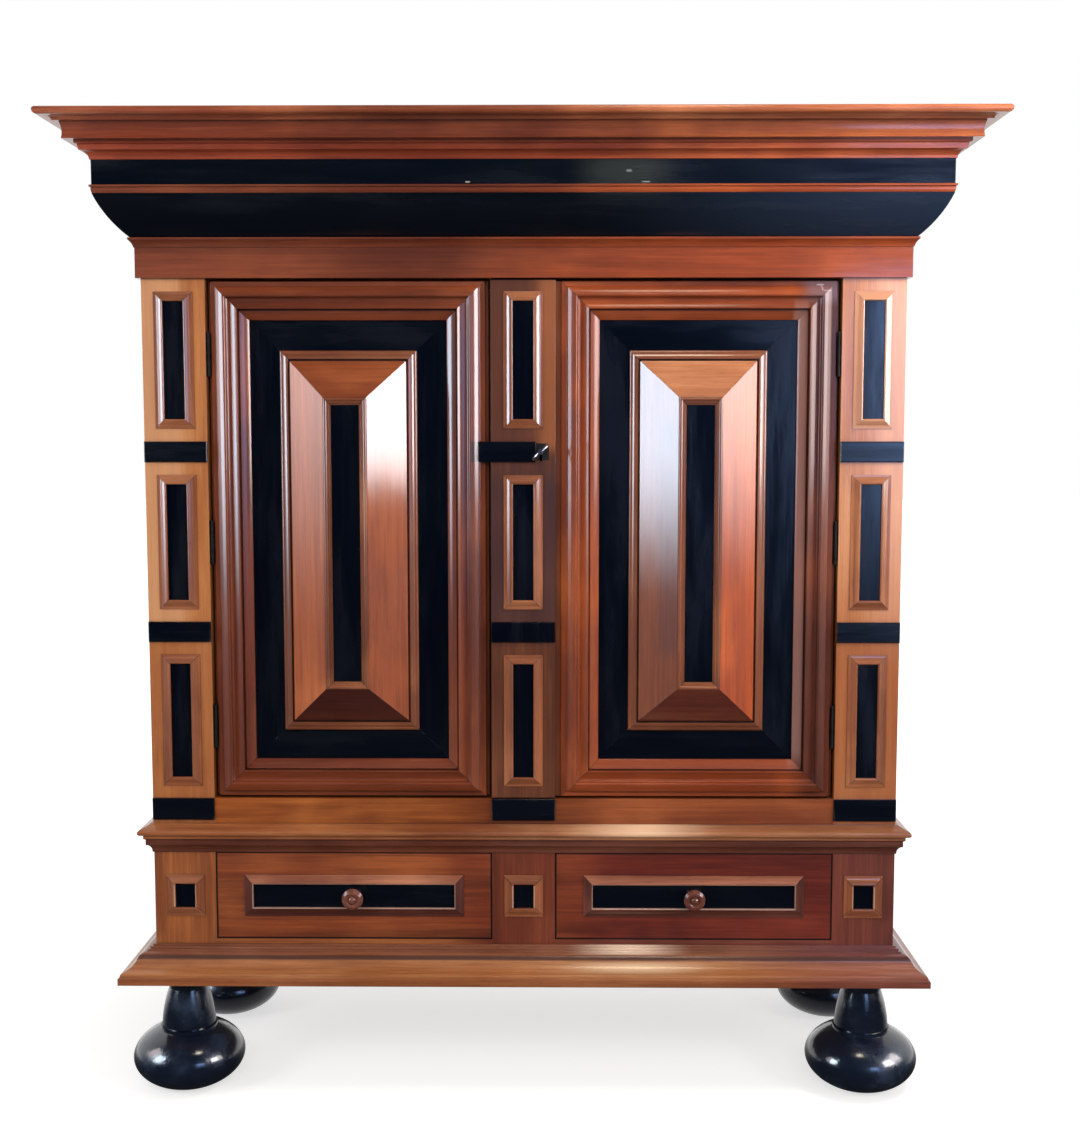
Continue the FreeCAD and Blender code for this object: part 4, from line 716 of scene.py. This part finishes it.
# The centre pilaster has painted light right of its top panel and painted shade left of it, and is darker
# round the middle one.
CENTRE_MARKS = (
    ((0.03, 0.12, 1.37, 1.75, 0.02), 0.45, srgb(170, 98, 54)),
    ((-0.12, 0.02, 1.37, 1.75, 0.02), 0.6, srgb(84, 44, 30)),
    ((-0.12, 0.12, 1.0, 1.33, 0.05), 0.7, srgb(58, 36, 40)),
)
# A painted highlight of a lamp on the waist moulding's upper slope.
WAIST_PAINTED_HIGHLIGHT = ((0.17, 0.33, 0.563, 0.6, 0.1, 0.003), 0.6, srgb(250, 210, 172))
# Painted highlights of a lamp on the plinth's top step and on its broad curve.
PLINTH_PAINTED_HIGHLIGHTS = (
    ((0.15, 0.29, 0.3125, 0.34, 0.07, 0.002), 0.75, srgb(250, 220, 194)),
    ((0.13, 0.33, 0.2835, 0.2985, 0.09, 0.005), 0.45, srgb(250, 220, 180)),
)


# ---------------------------------------------------------------- what each node wears
WALNUT = shades((82, 36, 18), (116, 56, 26), (146, 80, 42))
SIDE_WALNUT = shades((92, 46, 24), (126, 66, 34), (152, 90, 52))
OAK = shades((92, 66, 42), (138, 106, 70), (160, 130, 92))
BROAD_STRIP = {"gloss_rough": 0.16, "contrast": 0.4, "planing": 0.15, "edge": FINE_EDGE_RADIUS}
NARROW_STRIP = {"gloss": 1.0, "planing": 0.1, "edge": FINE_EDGE_RADIUS}
ROUND_STRIP = {"gloss_rough": 0.2, "edge": ROUND_EDGE_RADIUS}


def dress(material, *node_names):
    """Put a material on nodes in place of the one that they came with."""
    for node_name in node_names:
        mesh = NODES[node_name].data
        mesh.materials.clear()
        mesh.materials.append(material)


dress(wood("crown_walnut", run_round_case, shades((84, 36, 17), (112, 52, 24), (146, 82, 46)),
           figure=22.0, toned=CROWN_PAINTED_LIGHT),
      "crown_moulding")
dress(wood("architrave_walnut", run_round_case, shades((92, 38, 14), (122, 54, 21), (148, 74, 34)),
           figure=18.0, toned=ARCHITRAVE_PAINTED_LIGHT),
      "architrave", "frieze_bead")
dress(wood("waist_walnut", run_round_case, shades((98, 48, 24), (138, 78, 40), (166, 106, 64)),
           toned=WAIST_LIGHT_AND_SHADE, marks=(WAIST_PAINTED_HIGHLIGHT,), **ROUND_STRIP),
      "waist_moulding")
dress(wood("plinth_walnut", run_round_case, shades((122, 66, 32), (162, 100, 54), (190, 130, 82)),
           toned=PLINTH_TONE_AND_SHADE, marks=PLINTH_PAINTED_HIGHLIGHTS, **ROUND_STRIP),
      "plinth_moulding")
dress(wood("rail_walnut", run_level, shades((98, 46, 20), (136, 72, 32), (162, 96, 50)), toned=RAIL_TINT),
      "door_surround")
dress(wood("stile_walnut", run_base_front, shades((78, 36, 22), (108, 56, 34), (132, 76, 46)),
           toned=STILE_TINT, marks=(DRAWER_GAP_SHADE,)),
      "base_front_frame")
dress(wood("pilaster_walnut", run_upright, shades((152, 86, 42), (180, 112, 58), (204, 140, 86)),
           figure=30.0, marks=POST_MARKS),
      "post_left", "post_right")
dress(wood("centre_walnut", run_upright, shades((66, 32, 18), (97, 51, 28), (128, 72, 41)),
           marks=CENTRE_MARKS),
      "centre_pilaster")
dress(wood("small_frames", run_small_frames, shades((104, 54, 30), (146, 82, 48), (180, 114, 74)),
           marks=(SQUARE_FRAME_EDGE, RIGHT_FRAMES_PAINTED_LIGHT), **NARROW_STRIP),
      "inset_frames", "centre_pilaster_frames")
dress(wood("door_left_moulding", run_door, WALNUT, gloss=0.84, toned=LEFT_MOULDING_TINT,
           marks=(SLIDER_PAINTED_SHADOW,), **BROAD_STRIP),
      "door_left_moulding")
dress(wood("door_right_moulding", run_door, WALNUT, gloss=0.4, toned=RIGHT_MOULDING_TINT,
           marks=(INNER_EDGE_PAINTED_REFLECTION, WORN_CORNER, *CHIPS), **BROAD_STRIP),
      "door_right_moulding")
dress(wood("door_inner_moulding", run_door, shades((92, 46, 26), (126, 66, 36), (160, 98, 60)),
           gloss_rough=0.14, contrast=0.4, **NARROW_STRIP),
      "door_left_inner_moulding", "door_right_inner_moulding")
dress(wood("door_facets", run_door, shades((116, 54, 26), (148, 76, 38), (172, 98, 54)),
           gloss=1.0, gloss_rough=0.09, planing=0.7, toned=door_facet_tone_and_light, marks=(FACET_DARK_PATCH,)),
      "door_left_facets", "door_right_facets")
dress(wood("door_leaf", run_upright, WALNUT),
      "door_left_frame", "door_right_frame")
dress(wood("drawer_walnut", run_level, shades((74, 30, 14), (112, 50, 24), (140, 72, 36)),
           toned=DRAWER_TINT, marks=(DRAWER_GAP_SHADE,)),
      "drawer_left_front", "drawer_right_front")
dress(wood("drawer_frame", run_drawer, shades((96, 48, 32), (136, 76, 52), (168, 106, 76)),
           toned=drawer_frame_light_and_shade, marks=(DRAWER_FRAME_HIGHLIGHT,), **NARROW_STRIP),
      "drawer_left_frame", "drawer_right_frame")
dress(wood("side_walnut", run_upright, SIDE_WALNUT),
      "cupboard_sides")
dress(wood("side_base_walnut", run_box(BASE_BACK_Y), SIDE_WALNUT),
      "base_case")
dress(wood("knob_wood", run_back, shades((66, 28, 20), (104, 52, 38), (140, 84, 62)),
           gloss=1.0, gloss_rough=0.1, planing=0.05),
      "drawer_left_knob", "drawer_right_knob")
dress(ebony("ebony_door", run_door_ebony, shades((1, 5, 16), (6, 10, 25))),
      "door_left_ebony", "door_right_ebony")
dress(ebony("ebony_upright", run_upright, shades((1, 4, 15), (5, 9, 24))),
      "centre_pilaster_ebony", "ebony_insets")
dress(ebony("ebony_level", run_level, shades((2, 6, 17), (8, 12, 26))),
      "ebony_bands", "keyhole_slider", "drawer_left_inset", "drawer_right_inset")
dress(ebony("ebony_frieze", run_round_case, shades((3, 8, 18), (10, 16, 28)),
            marks=(FRIEZE_PAINTED_SHEEN, FASCIA_PAINTED_SHEEN, *SCUFFED_FASCIA)),
      "frieze_ebony")
dress(black_paint("black_feet"),
      "foot_front_left", "foot_front_right", "foot_rear_left", "foot_rear_right")
dress(oak("oak_level", run_level, OAK),
      "shelves", "carcase_boards", "cornice_frame", "top_boards", "base_floor")
dress(oak("oak_upright", run_upright, shades((88, 64, 42), (130, 100, 68), (152, 124, 90))),
      "back_boards")
dress(oak("oak_back", run_back, OAK),
      "drawer_runners")
dress(oak("oak_drawer", run_box(DRAWER_BACK_Y), OAK),
      "drawer_left_box", "drawer_right_box")
dress(iron("iron", shades((30, 28, 28), (22, 15, 12)), rough=0.5, metal=0.5),
      "hinge_plates", "hinge_straps_left", "hinge_straps_right", "top_bolt", "bottom_bolt",
      "left_door_irons", "lock_case", "lock_bolt")
dress(iron("bright_iron", shades((178, 178, 182), (90, 84, 78)), rough=0.22, metal=1.0),
      "key")


# ---------------------------------------------------------------- camera
# The lens is so long that its focal length is LENS_PIXELS of a frame REFERENCE_WIDTH wide.
REFERENCE_WIDTH = 1080
LENS_PIXELS = 1444
SENSOR_WIDTH = 36.0
CAMERA_PLACE = (0.0637, -3.1877, 1.3924)
CAMERA_DIRECTION = (-0.00972, 0.99610, -0.08774)


def set_camera():
    data = bpy.data.cameras.new("camera")
    data.sensor_fit = "HORIZONTAL"
    data.sensor_width = SENSOR_WIDTH
    data.lens = SENSOR_WIDTH * LENS_PIXELS / REFERENCE_WIDTH
    camera = bpy.data.objects.new("camera", data)
    bpy.context.scene.collection.objects.link(camera)
    camera.location = CAMERA_PLACE
    direction = Vector(CAMERA_DIRECTION).normalized()
    camera.rotation_euler = direction.to_track_quat("-Z", "Y").to_euler()
    bpy.context.scene.camera = camera


# ---------------------------------------------------------------- stage and light
WHITE = (1.0, 1.0, 1.0, 1.0)
# The room light grows from the low strength to the high one, from the first to the second z of a direction.
AMBIENT_LOW = 0.25
AMBIENT_HIGH = 0.5
AMBIENT_RISE = (-0.6, 0.6)
# What polish shows of the room in front of the object, and of the floor there.
ROOM_REFLECTION = (0.02, 0.025, 0.0375, 1.0)
FLOOR_REFLECTION = (0.035, 0.035, 0.035, 1.0)
# Polish shows white behind the object: from the first to the second y of a direction, or of the floor.
SKY_BEHIND = (0.0, 0.35)
FLOOR_BEHIND = (-0.2, 0.6)
FLOOR_RADIUS = 30.0
FLOOR_COLOR = (0.62, 0.61, 0.6, 1.0)
# The floor glows by itself less near the object, so that the shadow shows there.
FLOOR_GLOW = 0.62
SHADOW_REACH = (0.9, 2.6)


def background_rays(g):
    """1 for what the camera sees, and 1 for what metal and glass show."""
    path = g.node("ShaderNodeLightPath").outputs
    return path["Is Camera Ray"], g.math("MAXIMUM", path["Is Glossy Ray"], path["Is Transmission Ray"])


def world_light():
    """White behind the object, and a soft room light that is weaker from below."""
    world = bpy.data.worlds.new("world")
    bpy.context.scene.world = world
    world.use_nodes = True
    g = Graph(world.node_tree)
    direction = g.node("ShaderNodeSeparateXYZ")
    g.link(g.node("ShaderNodeTexCoord").outputs["Generated"], direction.inputs[0])
    camera_ray, glossy_ray = background_rays(g)
    behind = g.step(direction.outputs[1], *SKY_BEHIND)
    ambient = g.step(direction.outputs[2], *AMBIENT_RISE, AMBIENT_LOW, AMBIENT_HIGH)
    room = g.mix(glossy_ray, g.vector(ambient, ambient, ambient), ROOM_REFLECTION)
    white = g.math("MAXIMUM", camera_ray, g.times(glossy_ray, behind))
    shader = world.node_tree.nodes["Background"]
    g.link(g.mix(white, room, WHITE), shader.inputs["Color"])
    shader.inputs["Strength"].default_value = 1.0


def floor():
    """A pale floor that keeps the shadow near the object and runs out to white."""
    mesh = bpy.data.meshes.new("floor")
    r = FLOOR_RADIUS
    mesh.from_pydata([(-r, -r, 0), (r, -r, 0), (r, r, 0), (-r, r, 0)], [], [(0, 1, 2, 3)])
    piece = bpy.data.objects.new("floor", mesh)
    bpy.context.scene.collection.objects.link(piece)
    material, g, shader = new_material("floor")
    x, y, z = g.place()
    distance = g.math("SQRT", g.math("ADD", g.times(x, x), g.times(y, y)))
    glow = g.choose(g.step(distance, *SHADOW_REACH), FLOOR_GLOW, 1.0)
    camera_ray, glossy_ray = background_rays(g)
    behind = g.step(y, *FLOOR_BEHIND)
    white = g.math("MAXIMUM", camera_ray, g.times(glossy_ray, behind))
    room_side = g.times(glossy_ray, g.minus(1.0, behind))
    g.link(g.mix(room_side, FLOOR_COLOR, FLOOR_REFLECTION), shader.inputs["Base Color"])
    shader.inputs["Roughness"].default_value = 0.9
    shader.inputs["Specular IOR Level"].default_value = 0.0
    shader.inputs["Emission Color"].default_value = WHITE
    g.link(g.times(white, glow), shader.inputs["Emission Strength"])
    mesh.materials.append(material)


def window(name, place, aim, size, radiance, color, lights=True, shows=True, fade=None):
    """A soft area light. One that only lights leaves no reflection, and one that only shows is a reflection.

    A fade gives the height at which the light is gone and the height from which it is full.
    """
    data = bpy.data.lights.new(name, "AREA")
    data.shape = "RECTANGLE"
    data.size, data.size_y = size
    data.energy = radiance * size[0] * size[1] * pi
    data.color = color
    light = bpy.data.objects.new(name, data)
    bpy.context.scene.collection.objects.link(light)
    light.location = place
    light.rotation_euler = (Vector(aim) - Vector(place)).to_track_quat("-Z", "Y").to_euler()
    light.visible_camera = False
    light.visible_diffuse = lights
    light.visible_glossy = shows
    if fade:
        data.use_nodes = True
        g = Graph(data.node_tree)
        split = g.node("ShaderNodeSeparateXYZ")
        g.link(g.node("ShaderNodeNewGeometry").outputs["Position"], split.inputs[0])
        g.link(g.step(split.outputs[2], *fade), data.node_tree.nodes["Emission"].inputs["Strength"])


set_camera()
world_light()
floor()
window("light_right", place=(3.6, -3.2, 2.6), aim=(0.2, -0.2, 1.2), size=(1.6, 1.2), radiance=7.5,
       color=(1.0, 0.97, 0.95), shows=False)
window("light_left", place=(-3.6, -3.0, 2.6), aim=(-0.2, -0.2, 1.2), size=(1.6, 1.2), radiance=9.0,
       color=(0.97, 0.98, 1.0), shows=False)
window("light_front", place=(0.3, -4.6, 2.9), aim=(0.0, -0.2, 1.1), size=(3.0, 1.6), radiance=5.4,
       color=(1.0, 0.97, 0.93), shows=False)
window("light_near", place=(1.35, -0.95, 2.35), aim=(0.75, -0.3, 1.85), size=(0.5, 0.5), radiance=24.0,
       color=(1.0, 0.95, 0.9), shows=False)
window("window_right", place=(3.0, -1.75, 1.8), aim=(0.2, -0.2, 1.3), size=(1.2, 1.4), radiance=24.0,
       color=(1.0, 0.97, 1.0), lights=False, fade=(1.1, 1.36))
window("window_right_far", place=(3.2, -0.6, 1.7), aim=(0.2, -0.2, 1.3), size=(0.9, 2.0), radiance=11.0,
       color=(1.0, 0.93, 0.92), lights=False, fade=(0.75, 1.65))
window("window_left", place=(-3.0, -1.5, 1.55), aim=(-0.2, -0.2, 1.3), size=(1.0, 2.0), radiance=22.0,
       color=(0.7, 0.84, 1.0), lights=False, fade=(0.66, 1.4))
window("window_left_far", place=(-3.2, -0.4, 1.7), aim=(-0.2, -0.2, 1.3), size=(1.1, 2.2), radiance=6.5,
       color=(1.0, 0.88, 0.88), lights=False, fade=(0.6, 1.95))
window("window_front", place=(2.1, -4.2, 1.25), aim=(0.5, -0.2, 1.5), size=(1.4, 1.9), radiance=7.5,
       color=(0.34, 0.53, 1.0), lights=False, fade=(0.3, 2.0))
window("lamp_shine", place=(0.45, -1.3, 3.6), aim=(0.3, -0.3, 0.4), size=(0.5, 0.5), radiance=18.0,
       color=(1.0, 0.86, 0.68), lights=False)
bpy.context.scene.view_settings.view_transform = "Standard"
